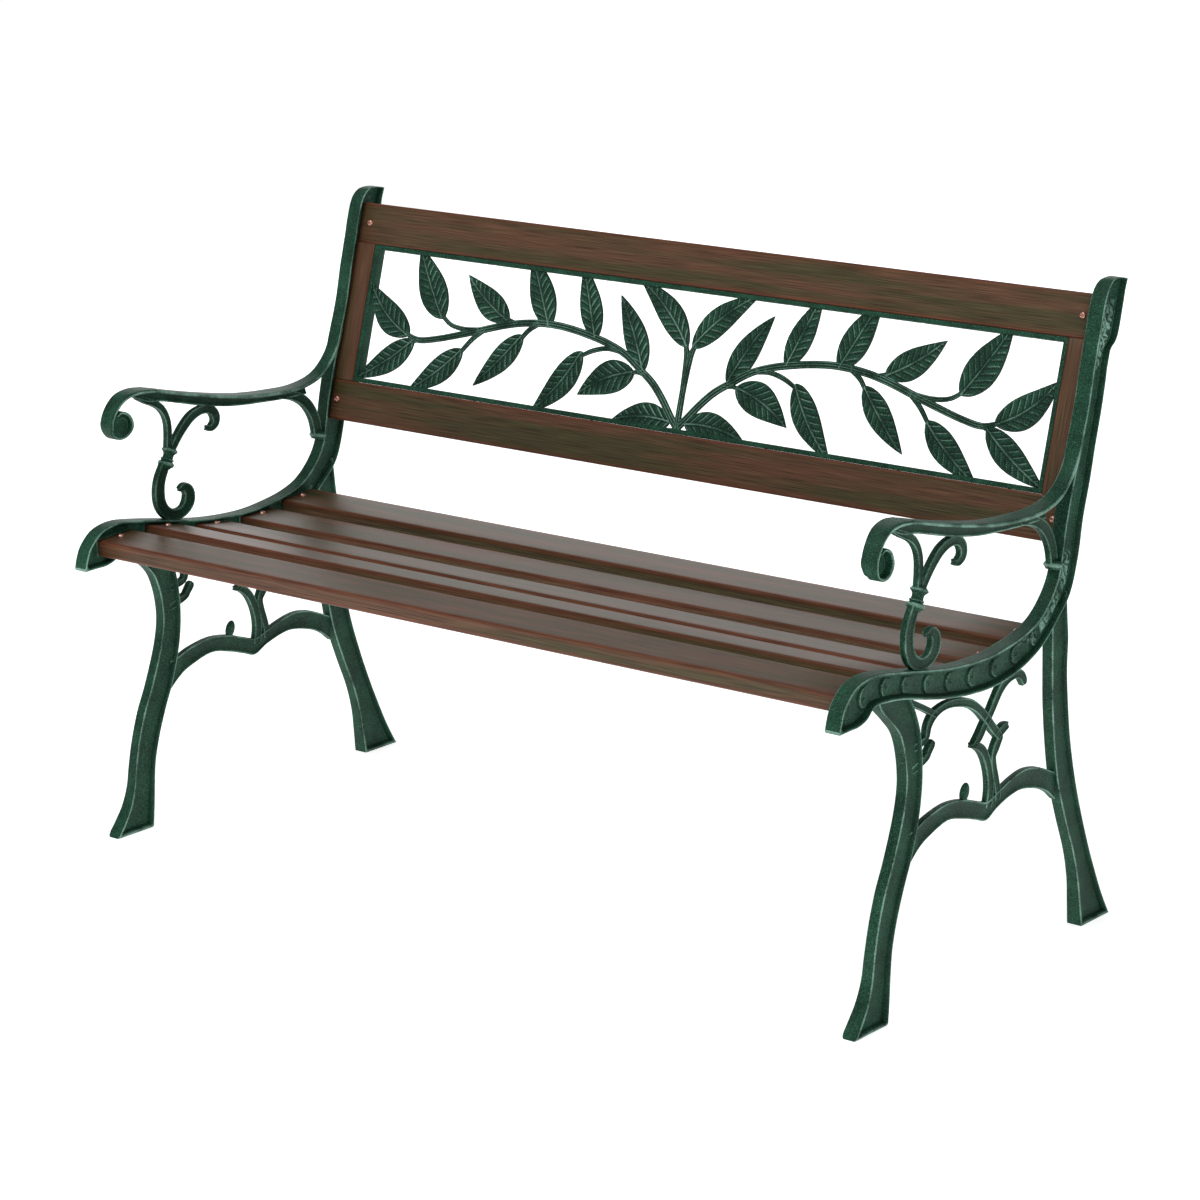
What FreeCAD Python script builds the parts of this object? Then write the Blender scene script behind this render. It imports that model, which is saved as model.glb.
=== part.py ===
"""Garden bench: two cast-iron end frames, five seat slats, and a wooden back frame round a leaf panel.

Axes: +X to the sitter's left, +Y to the back, +Z up.  The origin is on the floor, in the middle of the bench.
"""
import FreeCAD, Part
import math
import os

V = FreeCAD.Vector

# ---------------------------------------------------------------- driving dimensions, millimetres
# overall sizes
frame_spacing = 1175.0      # between the middle planes of the two end frames
overall_depth = 596.0       # nose of the seat rail to the heel of the back foot
overall_height = 802.0      # floor to the top of the posts

# the end-frame casting
flange_width = 21.0         # rims of the seat rail and post, measured along X
leg_width = 15.0            # rims of both legs, along X
arm_width = 32.0            # flat top of the armrest, along X
scroll_width = 23.0         # the armrest's strip at the front of its scroll
flange_thickness = 4.0      # rims, measured across the rim
web_thickness = 6.0         # plate between the rims
ornament_thickness = 8.0    # scrolls, branches and stretcher, along X
arm_thickness = 5.0         # flat top of the armrest
lug_thickness = 5.0         # ears that the timbers are bolted to
lug_width = 26.0
lug_reach = 11.0            # from the bolt's axis to the free end of its ear
ring_radius = 9.5           # row of raised rings on the seat rail
ring_line = 2.0             # width of each raised ring
ring_height = 1.2
dimple_radius = 2.0         # raised dot in each ring

# timber
slat_width = 62.0
slat_thickness = 21.5
slat_round = 3.0
rail_width = 55.0
rail_thickness = 18.0
rail_round = 2.0
stile_inner_x = 550.0       # inner edge of each stile on the standard bench length
end_clearance = 1.0         # between the end of a timber and the web of the casting
pocket_clearance = 0.3      # round a timber where it enters the casting

# cast leaf panel
panel_gap = 1.0             # between the panel and the timber round it
panel_border = 5.5          # border strip, measured in the plane of the back
panel_depth = 16.0          # border strip, front to back
panel_setback = 1.0         # border behind the front of the rails
leaf_thickness = 5.0
leaf_setback = 3.0          # leaves and stems behind the front of the rails

# fasteners
bolt_diameter = 5.0
bolt_clearance = 0.5        # bolt hole over bolt diameter
bolt_head_diameter = 9.5
bolt_head_height = 2.8
washer_diameter = 10.0
washer_thickness = 1.0
nut_across_flats = 8.0
nut_thickness = 4.0
bolt_end = 1.5              # thread that stands out of the nut
nut_to_flange = 0.5         # between the nut's corner and the flange beside it
top_bolt_extra = 7.0        # the top rail's bolts stand this much further in
screw_diameter = 4.0
screw_head_diameter = 8.0
screw_head_height = 2.0
screw_length = 28.0
dowel_diameter = 8.0
dowel_length = 36.0
wood_clearance = 0.1        # round a screw or a dowel in wood

# the size at which the outlines below are drawn, from the toe of the front foot
drawn_depth = 596.0
drawn_height = 802.0
drawn_middle = 257.0
drawn_spacing = 1175.0

# ---------------------------------------------------------------- sizes that follow
frame_x = frame_spacing / 2
web_face = frame_x - web_thickness / 2
timber_end = web_face - end_clearance
bolt_hole = bolt_diameter + bolt_clearance
nut_corner = nut_across_flats / math.sqrt(3)
nut_room = max(nut_corner, washer_diameter / 2)
bolt_x = frame_x - flange_width / 2 - nut_to_flange - nut_room
stile_inner = stile_inner_x + (frame_spacing - drawn_spacing) / 2


def spot(y, z):
    """A point of the end frame's side view, at x = 0."""
    across = (y - drawn_middle) * overall_depth / drawn_depth
    return V(0, across, z * overall_height / drawn_height)


# slats: middle of the top face in the side view, and its slope in degrees
slat_places = [
    (17.0, 410.0, 2.9),
    (103.6, 407.5, -9.3),
    (195.3, 392.4, -6.8),
    (283.0, 389.4, 0.6),
    (363.4, 399.3, 4.3),
]

# the front plane of the back passes through the middle of both rails
bottom_rail_middle = spot(436.9, 520.9)
top_rail_middle = spot(503.7, 756.1)
up_the_back = (top_rail_middle - bottom_rail_middle).normalize()
out_of_back = V(0, -up_the_back.z, up_the_back.y)
rail_distance = (top_rail_middle - bottom_rail_middle).Length


def box_on(middle, along, outward, x_from, x_to, width, thickness, sink=0.0):
    """A board whose front face is centred on middle, lying in the direction along, `sink` under it."""
    corner = middle - along * (width / 2) - outward * sink
    corners = [
        corner,
        corner + along * width,
        corner + along * width - outward * thickness,
        corner - outward * thickness,
    ]
    face = Part.Face(Part.makePolygon(corners + [corner]))
    face.translate(V(x_from, 0, 0))
    return face.extrude(V(x_to - x_from, 0, 0))


def round_long_edges(board, radius):
    """Round the edges of a board that run along X."""
    long_edges = [e for e in board.Edges if abs(e.tangentAt(e.FirstParameter).x) > 0.99]
    return board.makeFillet(radius, long_edges)


def rod(start, direction, diameter, length):
    return Part.makeCylinder(diameter / 2, length, start, direction)


# ---------------------------------------------------------------- flat shapes of the casting
def smooth(points):
    curve = Part.BSplineCurve()
    curve.interpolate(points)
    return curve.toShape()


def closed_face(near, far, round_end=None):
    """The face between two smooth edges; round_end is a point that the far end's arc passes through."""
    start = Part.makeLine(far[0], near[0])
    end = Part.makeLine(near[-1], far[-1])
    if round_end:
        end = Part.Arc(near[-1], round_end, far[-1]).toShape()
    edges = Part.sortEdges([smooth(near), end, smooth(far), start])[0]
    return Part.Face(Part.Wire(edges))


def thicken(face, thickness):
    """Extrude a side-view face along X, half to each side of x = 0."""
    solid = face.extrude(V(thickness, 0, 0))
    solid.translate(V(-thickness / 2, 0, 0))
    return solid


def limb(stations, width, round_end=None):
    """An I-shaped limb from pairs of points on its two edges: rims at the edges, a thin web between."""
    near = [spot(a, b) for a, b, c, d in stations]
    far = [spot(c, d) for a, b, c, d in stations]
    body = thicken(closed_face(near, far, round_end), width)
    inner_near = []
    inner_far = []
    for a, b in zip(near[1:-1], far[1:-1]):
        across = (b - a).normalize() * flange_thickness
        inner_near.append(a + across)
        inner_far.append(b - across)
    recess = closed_face(inner_near, inner_far)
    for side in (-1, 1):
        cutter = recess.extrude(V(side * width, 0, 0))
        cutter.translate(V(side * web_thickness / 2, 0, 0))
        body = body.cut(cutter)
    return body


def ribbon_face(points, place):
    """The outline of a bar from its middle line: each point gives two coordinates and a half width."""
    middle = [place(p[0], p[1]) for p in points]
    left = []
    right = []
    for i, here in enumerate(middle):
        before = middle[max(i - 1, 0)]
        after = middle[min(i + 1, len(middle) - 1)]
        run = after - before
        side = run.cross(ribbon_normal(place)).normalize() * points[i][2]
        left.append(here + side)
        right.append(here - side)
    return closed_face(left, right)


def ribbon_normal(place):
    """The direction square to the plane that place() draws in."""
    origin = place(0, 0)
    return (place(1, 0) - origin).cross(place(0, 1) - origin).normalize()


def bar(points, thickness):
    return thicken(ribbon_face(points, spot), thickness)


def collar(y, z, diameter, height, lean):
    angle = math.radians(lean)
    axis = V(0, math.sin(angle), math.cos(angle))
    return rod(spot(y, z) - axis * (height / 2), axis, diameter, height)


def ring(y, z, outer, inner, x_from, length):
    """A flat ring, or a disc when inner is 0, lying square to X."""
    centre = spot(y, z) + V(x_from, 0, 0)
    disc = Part.makeCylinder(outer, length, centre, V(1, 0, 0))
    if inner > 0:
        disc = disc.cut(Part.makeCylinder(inner, length, centre, V(1, 0, 0)))
    return disc


# ---------------------------------------------------------------- end-frame outlines (side view)
# each station: a point on the upper or front edge, then its partner on the lower or rear edge
seat_and_post = [
    (-41, 376, -40, 372),
    (-38.5, 386, -30, 372.3),
    (-31, 402, -18, 372.6),
    (-14, 417.5, -3, 373),
    (5, 424, 13, 378),
    (27, 425.5, 27, 388.5),
    (55, 422, 50, 388.5),
    (90, 416, 85, 384),
    (135, 407.5, 130, 373.5),
    (180, 400, 176, 364),
    (225, 395.7, 224, 357.5),
    (268, 394.7, 270, 355.5),
    (306, 398.3, 311, 359),
    (342, 404.5, 351, 369),
    (374, 416, 385, 384),
    (398.5, 436, 415, 407),
    (414.5, 459.5, 442, 434),
    (420.5, 486, 457.5, 476.5),
    (426.5, 519.5, 465.5, 521.5),
    (437.5, 562.5, 477.5, 565.5),
    (450.5, 603.5, 487, 607.5),
    (464.5, 645, 498, 647),
    (472, 675, 505, 678),
    (476, 694, 508, 695),
    (479, 705, 511, 706),
    (481.5, 714, 514, 716),
    (483, 720, 518.5, 721),
    (484.5, 726, 524, 724.5),
    (486.5, 733, 529, 730.5),
    (489, 742, 533, 740),
    (491.5, 753, 537, 755),
    (495.5, 767, 541, 770),
    (498.5, 776, 545, 786),
    (501, 782, 549, 797.5),
]
post_cap = (523, 800.8)

front_leg = [
    (38.5, 390, 102.5, 382),
    (46.5, 378, 107.5, 375),
    (64.5, 362, 116.5, 359),
    (83.5, 342, 124.5, 339),
    (94.5, 313, 130, 311),
    (98.5, 282, 131.5, 282),
    (94.5, 253, 129.5, 254),
    (85.5, 224, 123.5, 225),
    (71.5, 189, 112, 189),
    (57.5, 159, 98.5, 159),
    (45.5, 122, 84.5, 122),
    (38.5, 89, 76, 90),
    (34, 61, 72.5, 61),
    (25, 36.5, 70, 36.5),
    (12, 17, 67.5, 18),
    (3, 5.5, 66, 5.5),
    (0, 0, 66, 0),
]

back_leg = [
    (404, 403, 436, 437),
    (405.5, 394, 440, 403),
    (406.5, 374, 443, 377),
    (408, 339, 442.5, 339),
    (410.5, 299, 446.5, 299),
    (417.5, 249, 454.5, 249),
    (428.5, 199, 467.5, 199),
    (447.5, 149, 485, 149),
    (468, 102, 504, 102),
    (479.5, 64, 521, 64),
    (484.5, 32, 536, 32),
    (488, 5.5, 551, 5.5),
    (488.5, 0, 555, 0),
]

# the stretcher between the legs is two arches that meet in a point
stretcher = [
    (112, 218, 100, 170),
    (130, 222, 128, 192.5),
    (150, 228.5, 150, 203),
    (188, 234, 190, 212.5),
    (225, 229.5, 225, 206),
    (256, 219.5, 254, 197),
    (277, 214, 274.5, 191),
    (301, 221, 297, 200.5),
    (330, 229.5, 325, 208),
    (358, 233.5, 350, 210),
    (385, 229.5, 380, 204),
    (408, 221, 408, 193),
    (426, 213, 428, 178),
]

# bars: points on the middle line, each with its half width
armrest = [
    (67, 590, 2.5),
    (92, 588, 2.5),
    (142, 576, 2.5),
    (202, 563, 2.5),
    (263, 552.3, 2.5),
    (325, 547, 2.5),
    (372, 547, 2.5),
    (410, 555.5, 2.5),
    (434, 573, 2.5),
    (448, 592, 2.5),
    (457, 615, 2.5),
]
arm_scroll = [
    (67, 590, 2.5),
    (44, 585.5, 2.5),
    (28, 571.5, 2.4),
    (20, 553.5, 2.3),
    (25, 539, 2.2),
    (37, 533.5, 2.1),
    (48, 538, 2.0),
    (52, 549.5, 2.0),
    (47, 562.5, 1.9),
    (36, 568, 1.8),
    (28.5, 564.5, 1.5),
]
# the armrest seen from above narrows between these two places to the width of the rims
arm_narrows = (330, 430)
scroll_narrows = (22, 78)
arm_web = [
    (85, 588, 88, 573),
    (120, 581.5, 118, 568.5),
    (175, 568.5, 172, 555),
    (222, 559, 220, 545),
    (262, 552.3, 260, 539.5),
    (310, 547.6, 310, 536),
    (350, 546.5, 350, 534),
    (386, 549, 390, 534),
]
scroll_disc = (35.5, 550.5, 15.5)

bars = [
    # forked arm support: front branch, back branch with its curl
    [(123.5, 505, 6), (124.5, 522, 5), (123.8, 538, 5), (119.5, 551, 5), (111, 562, 5), (99, 569.5, 5),
     (84, 575.5, 4.5)],
    [(130, 503, 6), (141, 517, 7), (153, 529.5, 7.3), (168, 540.5, 7), (186, 546, 6.3), (203, 544, 6.5),
     (212, 535, 7.5), (212, 525, 7), (204, 519, 5), (195, 520, 2)],
    # scroll that the arm support stands on
    [(115.5, 483, 9), (106.5, 466, 10), (103.5, 450, 10), (105.5, 434, 9.7), (114.5, 421, 9),
     (129.5, 414.5, 8), (146.5, 416.5, 8.5), (157.5, 427, 11), (158.5, 440, 10), (150.5, 448, 6.5),
     (140.5, 446.5, 2)],
    # curved brace from the armrest down to the post
    [(338, 541, 5.5), (363, 536, 7), (383, 526.5, 8), (397, 513, 8.5), (406, 497, 8.5), (411, 478, 8.5)],
    # short strut from the seat rail, and the arch from the front leg to the knot
    [(112, 373, 4), (139, 360, 4), (163, 347, 4)],
    [(121, 318, 5), (143, 323, 4.5), (148, 336, 5.5), (157, 346, 6), (172, 351.5, 5), (190, 353, 5),
     (213, 350, 5.5), (236, 343, 6), (254, 332, 6), (270, 318, 6.3), (285, 303, 6.3), (300, 289, 5.5)],
    # thorn behind the knot
    [(297, 290, 6), (309, 296, 6.5), (319, 298.5, 4.5)],
    # the two uprights of the knot
    [(240, 291, 2.5), (250, 289, 4.5), (262, 282, 6), (271, 271, 6.5), (278, 256, 6.5), (282, 240, 6.5),
     (283, 225, 7), (280, 208, 7)],
    [(302, 288, 6.5), (294, 277, 7), (288, 266, 5.5), (290, 251, 6), (295, 236, 6), (299, 221, 6),
     (299, 212, 6)],
    # stem that crosses the arch and ends in a hook under the seat rail
    [(247, 291, 4), (257, 298, 6), (267, 309, 6), (280, 322, 6), (290, 334, 6.3), (301, 346, 6.5),
     (314, 353.5, 6), (330, 356.5, 5.5), (344, 354, 6), (351, 346, 6), (352.5, 339, 4.5)],
    # bud on the front leg
    [(118, 292, 5), (144, 300, 5), (150, 306, 5), (156, 313, 5.5), (159, 317, 3)],
]
stretcher_bud = (231, 238, 11)
# round collars on the arm support and on the post: middle, diameter, height, lean to the back in degrees
collars = [
    (127.5, 500.3, 22, 8, 25),
    (122.5, 490.5, 17, 13, 25),
    (118.4, 482.5, 22, 8, 25),
    (414, 472.5, 24, 9, 9),
]
# middles of the raised rings on the outer side of the seat rail
rail_rings = [
    (2, 399), (47, 406), (88, 400), (131, 391.5), (177, 383.5), (224, 378.5), (272, 377), (318, 382),
    (358, 395),
]


# ---------------------------------------------------------------- slats and rails
def slat_axes(index):
    """The middle of a slat's top face, the direction front to back along it, and its upward normal."""
    y, z, slope = slat_places[index]
    angle = math.radians(slope)
    return spot(y, z), V(0, math.cos(angle), math.sin(angle)), V(0, -math.sin(angle), math.cos(angle))


def seat_bolts():
    """Each seat bolt: its place on the slat's top face, and the direction out of the slat."""
    places = []
    for index in range(len(slat_places)):
        middle, along, upward = slat_axes(index)
        for side in (-1, 1):
            places.append((middle + V(side * bolt_x, 0, 0), upward))
    return places


def back_bolts():
    places = []
    for middle, further_in in ((bottom_rail_middle, 0.0), (top_rail_middle, top_bolt_extra)):
        for side in (-1, 1):
            places.append((middle + V(side * (bolt_x - further_in), 0, 0), out_of_back))
    return places


def drill(body, places, depth):
    for place, outward in places:
        body = body.cut(rod(place + outward, -outward, bolt_hole, depth + 2))
    return body


def seat_slat(index):
    middle, along, upward = slat_axes(index)
    board = box_on(middle, along, upward, -timber_end, timber_end, slat_width, slat_thickness)
    board = round_long_edges(board, min(slat_round, slat_thickness / 4))
    return drill(board, seat_bolts()[2 * index:2 * index + 2], slat_thickness)


def back_rail(middle, places):
    board = box_on(middle, up_the_back, out_of_back, -timber_end, timber_end, rail_width, rail_thickness)
    board = round_long_edges(board, min(rail_round, rail_thickness / 4))
    board = drill(board, places, rail_thickness)
    for solid in panel_screws(wood_clearance) + stile_dowels(wood_clearance):
        board = board.cut(solid)
    return board


def back_stile(side):
    """The upright between the rails, beside the post; it is as thick as the rails."""
    middle = (bottom_rail_middle + top_rail_middle) * 0.5
    ends = sorted([side * stile_inner, side * timber_end])
    length = rail_distance - rail_width
    board = box_on(middle, up_the_back, out_of_back, ends[0], ends[1], length, rail_thickness)
    for solid in stile_dowels(wood_clearance):
        board = board.cut(solid)
    return board


# ---------------------------------------------------------------- end frame
def bolt_ear(place, outward, timber_thickness, wide):
    """The ear behind or under a timber, from the web to past the bolt."""
    inner = place.x - lug_reach
    middle = V(0, place.y, place.z)
    across = V(0, outward.z, -outward.y)
    return box_on(middle, across, outward, inner, frame_x, wide, lug_thickness, timber_thickness)


def arm_plan():
    """The armrest's outline from above, as deep as the bench is high."""
    wide = arm_width / 2
    narrow = flange_width / 2
    starts, ends = [spot(y, 0).y for y in arm_narrows]
    slim_to, wide_from = [spot(y, 0).y for y in scroll_narrows]
    corners = [
        V(wide - scroll_width, -overall_depth, 0),
        V(wide, -overall_depth, 0),
        V(wide, starts, 0),
        V(narrow, ends, 0),
        V(narrow, overall_depth, 0),
        V(-narrow, overall_depth, 0),
        V(-narrow, ends, 0),
        V(-wide, starts, 0),
        V(-wide, wide_from, 0),
        V(wide - scroll_width, slim_to, 0),
    ]
    return Part.Face(Part.makePolygon(corners + corners[:1])).extrude(V(0, 0, overall_height))


def end_frame():
    """The right-hand casting in its place; the left-hand one is its mirror image."""
    parts = [limb(seat_and_post, flange_width, spot(*post_cap))]
    parts += [limb(front_leg, leg_width), limb(back_leg, leg_width)]
    near = [spot(a, b) for a, b, c, d in stretcher]
    far = [spot(c, d) for a, b, c, d in stretcher]
    parts.append(thicken(closed_face(near, far), ornament_thickness))
    near = [spot(a, b) for a, b, c, d in arm_web]
    far = [spot(c, d) for a, b, c, d in arm_web]
    parts.append(thicken(closed_face(near, far), web_thickness))
    parts.append(bar(scaled_bar(armrest), arm_width).common(arm_plan()))
    parts.append(bar(scaled_bar(arm_scroll), arm_width).common(arm_plan()))
    y, z, radius = scroll_disc
    parts.append(ring(y, z, radius, 0, -web_thickness / 2, web_thickness))
    y, z, radius = stretcher_bud
    parts.append(ring(y, z, radius, 0, -ornament_thickness / 2, ornament_thickness))
    for points in bars:
        parts.append(bar(points, ornament_thickness))
    for sizes in collars:
        parts.append(collar(*sizes))
    for y, z in rail_rings:
        parts.append(ring(y, z, ring_radius, ring_radius - ring_line, web_thickness / 2, ring_height))
        parts.append(ring(y, z, dimple_radius, 0, web_thickness / 2, ring_height))
    casting = parts[0].multiFuse(parts[1:])
    casting.translate(V(frame_x, 0, 0))
    return fit_timbers(casting)


def scaled_bar(points):
    """The armrest's bars with the half width that gives arm_thickness."""
    return [(y, z, half * arm_thickness / 5) for y, z, half in points]


def fit_timbers(casting):
    """Cut the pockets that the timbers enter, and add the ears that they are bolted to."""
    grown = 2 * pocket_clearance
    inner = frame_x - flange_width
    for index in range(len(slat_places)):
        middle, along, upward = slat_axes(index)
        casting = casting.cut(box_on(middle, along, upward, inner, timber_end + end_clearance,
                                     slat_width + grown, slat_thickness + grown, -pocket_clearance))
    length = rail_distance + rail_width
    middle = (bottom_rail_middle + top_rail_middle) * 0.5
    casting = casting.cut(box_on(middle, up_the_back, out_of_back, inner, timber_end + end_clearance,
                                 length + grown, rail_thickness + grown, -pocket_clearance))
    right_seat = [p for p in seat_bolts() if p[0].x > 0]
    right_back = [p for p in back_bolts() if p[0].x > 0]
    ears = [bolt_ear(place, outward, slat_thickness, lug_width) for place, outward in right_seat]
    ears += [bolt_ear(place, outward, rail_thickness, lug_width) for place, outward in right_back]
    casting = casting.multiFuse(ears)
    casting = drill(casting, right_seat, slat_thickness + 2 * lug_thickness)
    return drill(casting, right_back, rail_thickness + 2 * lug_thickness)


# ---------------------------------------------------------------- leaf panel
drawn_panel_width = 1098.0
drawn_panel_height = 187.5
panel_half_width = stile_inner - panel_gap
panel_height = rail_distance - rail_width - 2 * panel_gap
panel_foot = bottom_rail_middle + up_the_back * (rail_width / 2 + panel_gap)

# leaves of one half: base and tip, each from the middle and from the panel's lower edge, the width,
# and how far the midrib bows to the left of the line from base to tip
leaves = [
    (468, 73, 546, 136, 39, -8),
    (457, 68, 549, 5, 34, -4),
    (413, 102, 470, 193, 43, -2),
    (301, 112, 380, 165, 36, -4),
    (371, 65, 454, -1, 34, -4),
    (273, 96, 343, 20, 32, -2),
    (231, 112, 278, 205, 38, 0),
    (152, 105, 190, 200, 33, 0),
    (67, 73, 122, 166, 34, 3),
    (171, 86, 239, -2, 36, -6),
    (82, 70, 167, 30, 42, 6),
    (12, 14, 106, 4, 36, 6),
    (4, 112, 95, 190, 34, 7),
]
# how a leaf's half width grows and fades from base (0) to tip (1)
leaf_shape = [(0.12, 0.5), (0.38, 1.0), (0.75, 0.6)]
stems = [
    [(-4, 3, 5), (12, 20, 5.3), (30, 41, 5.3), (50, 60, 5.3), (75, 76, 5), (100, 91, 5), (130, 101.5, 5),
     (165, 109, 5), (200, 114, 5), (232, 115.5, 5), (270, 112.5, 5), (305, 105.5, 5),
     (345, 94, 5), (385, 82.5, 4.7), (420, 73.5, 4.5), (450, 69, 4.3), (474, 76, 3)],
    [(340, 95, 4), (372, 92.5, 3.5), (398, 96, 3.2), (417, 108, 2.7)],
    [(338, 97, 4), (357, 81, 3.4), (374, 61, 2.7)],
    [(248, 115, 4), (264, 104, 3.4), (275, 91, 2.7)],
    [(108, 94, 4), (130, 95, 3.5), (152, 90, 3.5), (173, 80, 2.7)],
    [(60, 68, 4), (75, 70.5, 3.2), (90, 68, 2.7)],
    [(446, 70, 3.5), (464, 64, 2.7)],
    [(285, 109, 3.5), (308, 116, 2.7)],
    [(0, 3, 4.7), (0, 50, 4.3), (1.5, 85, 4.3), (4, 105, 3.8), (9, 118, 2.7)],
]
screw_places = [140, 340, 500]      # panel screws from the middle, on each side


def on_panel(x, up):
    """A point of the leaf panel's front plane."""
    across = V(x * 2 * panel_half_width / drawn_panel_width, 0, 0)
    return panel_foot + across + up_the_back * (up * panel_height / drawn_panel_height)


def leaf_face(base_x, base_up, tip_x, tip_up, width, bow):
    base = on_panel(base_x, base_up)
    tip = on_panel(tip_x, tip_up)
    axis = tip - base
    side = out_of_back.cross(axis).normalize()
    left = [base]
    right = [base]
    for t, w in leaf_shape:
        middle = base + axis * t + side * (bow * 4 * t * (1 - t))
        left.append(middle + side * (w * width / 2))
        right.append(middle - side * (w * width / 2))
    return Part.Face(Part.Wire([smooth(left + [tip]), smooth(right + [tip])]))


def panel_slab(half_width, low, high, front, depth):
    """A board in the plane of the back, `low` to `high` above the panel's foot."""
    middle = panel_foot + up_the_back * ((low + high) / 2)
    return box_on(middle, up_the_back, out_of_back, -half_width, half_width, high - low, depth, front)


def leaf_panel():
    """One casting: border, stems and the two mirrored sets of leaves, held inside the border."""
    faces = [leaf_face(*leaf) for leaf in leaves]
    faces += [ribbon_face(points, on_panel) for points in stems]
    half = [face.extrude(-out_of_back * leaf_thickness) for face in faces]
    for solid in half:
        solid.translate(-out_of_back * leaf_setback)
    mirrored = [solid.mirror(V(0, 0, 0), V(1, 0, 0)) for solid in half]
    foliage = half[0].multiFuse(half[1:] + mirrored)
    outside = panel_slab(panel_half_width, 0, panel_height, panel_setback, panel_depth)
    opening = panel_slab(panel_half_width - panel_border, panel_border, panel_height - panel_border,
                         0, panel_depth + 2 * panel_setback)
    casting = outside.cut(opening).fuse(foliage.common(outside))
    for solid in panel_screws(0.0):
        casting = casting.cut(solid)
    return casting


# ---------------------------------------------------------------- fasteners
def domed_bolt(place, outward, grip):
    """A round-headed bolt, its head resting on place; grip is everything it clamps."""
    head_radius = bolt_head_diameter / 2
    shank_radius = bolt_diameter / 2
    dome_radius = (head_radius ** 2 + bolt_head_height ** 2) / (2 * bolt_head_height)
    half_way = math.asin(head_radius / dome_radius) / 2
    dome_middle = bolt_head_height - dome_radius
    on_dome = V(dome_radius * math.sin(half_way), 0, dome_middle + dome_radius * math.cos(half_way))
    end = -(grip + washer_thickness + nut_thickness + bolt_end)
    dome = Part.Arc(V(0, 0, bolt_head_height), on_dome, V(head_radius, 0, 0)).toShape()
    corners = [V(head_radius, 0, 0), V(shank_radius, 0, 0), V(shank_radius, 0, end), V(0, 0, end),
               V(0, 0, bolt_head_height)]
    rest = Part.makePolygon(corners)
    bolt = Part.Face(Part.Wire([dome] + rest.Edges)).revolve(V(0, 0, 0), V(0, 0, 1), 360)
    bolt.Placement = FreeCAD.Placement(place, FreeCAD.Rotation(V(0, 0, 1), outward))
    return bolt


def washer(place, outward, grip):
    start = place - outward * grip
    disc = rod(start, -outward, washer_diameter, washer_thickness)
    return disc.cut(rod(start, -outward, bolt_hole, washer_thickness))


def nut(place, outward, grip):
    start = place - outward * (grip + washer_thickness)
    along = V(1, 0, 0)
    across = outward.cross(along)
    corners = []
    for i in range(7):
        angle = math.pi / 3 * i
        corners.append(start + (along * math.cos(angle) + across * math.sin(angle)) * nut_corner)
    block = Part.Face(Part.makePolygon(corners)).extrude(-outward * nut_thickness)
    return block.cut(rod(start, -outward, bolt_diameter, nut_thickness))


def panel_screws(clearance):
    """Countersunk screws through the panel's border into both rails; clearance grows their holes."""
    solids = []
    for x in screw_places:
        for side in (-1, 1):
            for up, direction in ((panel_border, -1), (panel_height - panel_border, 1)):
                middle_depth = panel_setback + panel_depth / 2
                start = panel_foot + up_the_back * up - out_of_back * middle_depth
                start.x = side * on_panel(x, 0).x
                way = up_the_back * direction
                radius = screw_diameter / 2 + clearance
                head = Part.makeCone(screw_head_diameter / 2, radius, screw_head_height, start, way)
                shank = Part.makeCylinder(radius, screw_length + clearance, start, way)
                solids.append(head.fuse(shank))
    return solids


def stile_dowels(clearance):
    """Dowels that pin each stile to the rails above and below it."""
    x = (stile_inner + timber_end) / 2
    solids = []
    for side in (-1, 1):
        for middle, direction in ((bottom_rail_middle, 1), (top_rail_middle, -1)):
            joint = middle + up_the_back * (direction * rail_width / 2)
            centre = joint - out_of_back * (rail_thickness / 2) + V(side * x, 0, 0)
            length = dowel_length + 2 * clearance
            start = centre - up_the_back * (length / 2)
            solids.append(rod(start, up_the_back, dowel_diameter + 2 * clearance, length))
    return solids


# ---------------------------------------------------------------- the nodes
def nodes():
    right = end_frame()
    yield "end_frame_right", right
    yield "end_frame_left", right.mirror(V(0, 0, 0), V(1, 0, 0))
    for index in range(len(slat_places)):
        yield "seat_slat_%d" % (index + 1), seat_slat(index)
    rail_bolts = back_bolts()
    yield "back_bottom_rail", back_rail(bottom_rail_middle, rail_bolts[:2])
    yield "back_top_rail", back_rail(top_rail_middle, rail_bolts[2:])
    yield "back_stile_left", back_stile(-1)
    yield "back_stile_right", back_stile(1)
    yield "leaf_panel", leaf_panel()
    seat_grip = slat_thickness + lug_thickness
    back_grip = rail_thickness + lug_thickness
    for name, places, grip in (("seat", seat_bolts(), seat_grip), ("back", rail_bolts, back_grip)):
        yield name + "_bolts", Part.makeCompound([domed_bolt(p, out, grip) for p, out in places])
        yield name + "_washers", Part.makeCompound([washer(p, out, grip) for p, out in places])
        yield name + "_nuts", Part.makeCompound([nut(p, out, grip) for p, out in places])
    yield "panel_screws", Part.makeCompound(panel_screws(0.0))
    yield "stile_dowels", Part.makeCompound(stile_dowels(0.0))


os.makedirs("parts", exist_ok=True)
for node, shape in nodes():
    shape.exportStep("parts/" + node + ".step")
    size = shape.BoundBox
    print("%-18s solids %2d  valid %s  volume %9.0f  x %.1f..%.1f  y %.1f..%.1f  z %.1f..%.1f" % (
        node, len(shape.Solids), shape.isValid(), shape.Volume,
        size.XMin, size.XMax, size.YMin, size.YMax, size.ZMin, size.ZMax))
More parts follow.
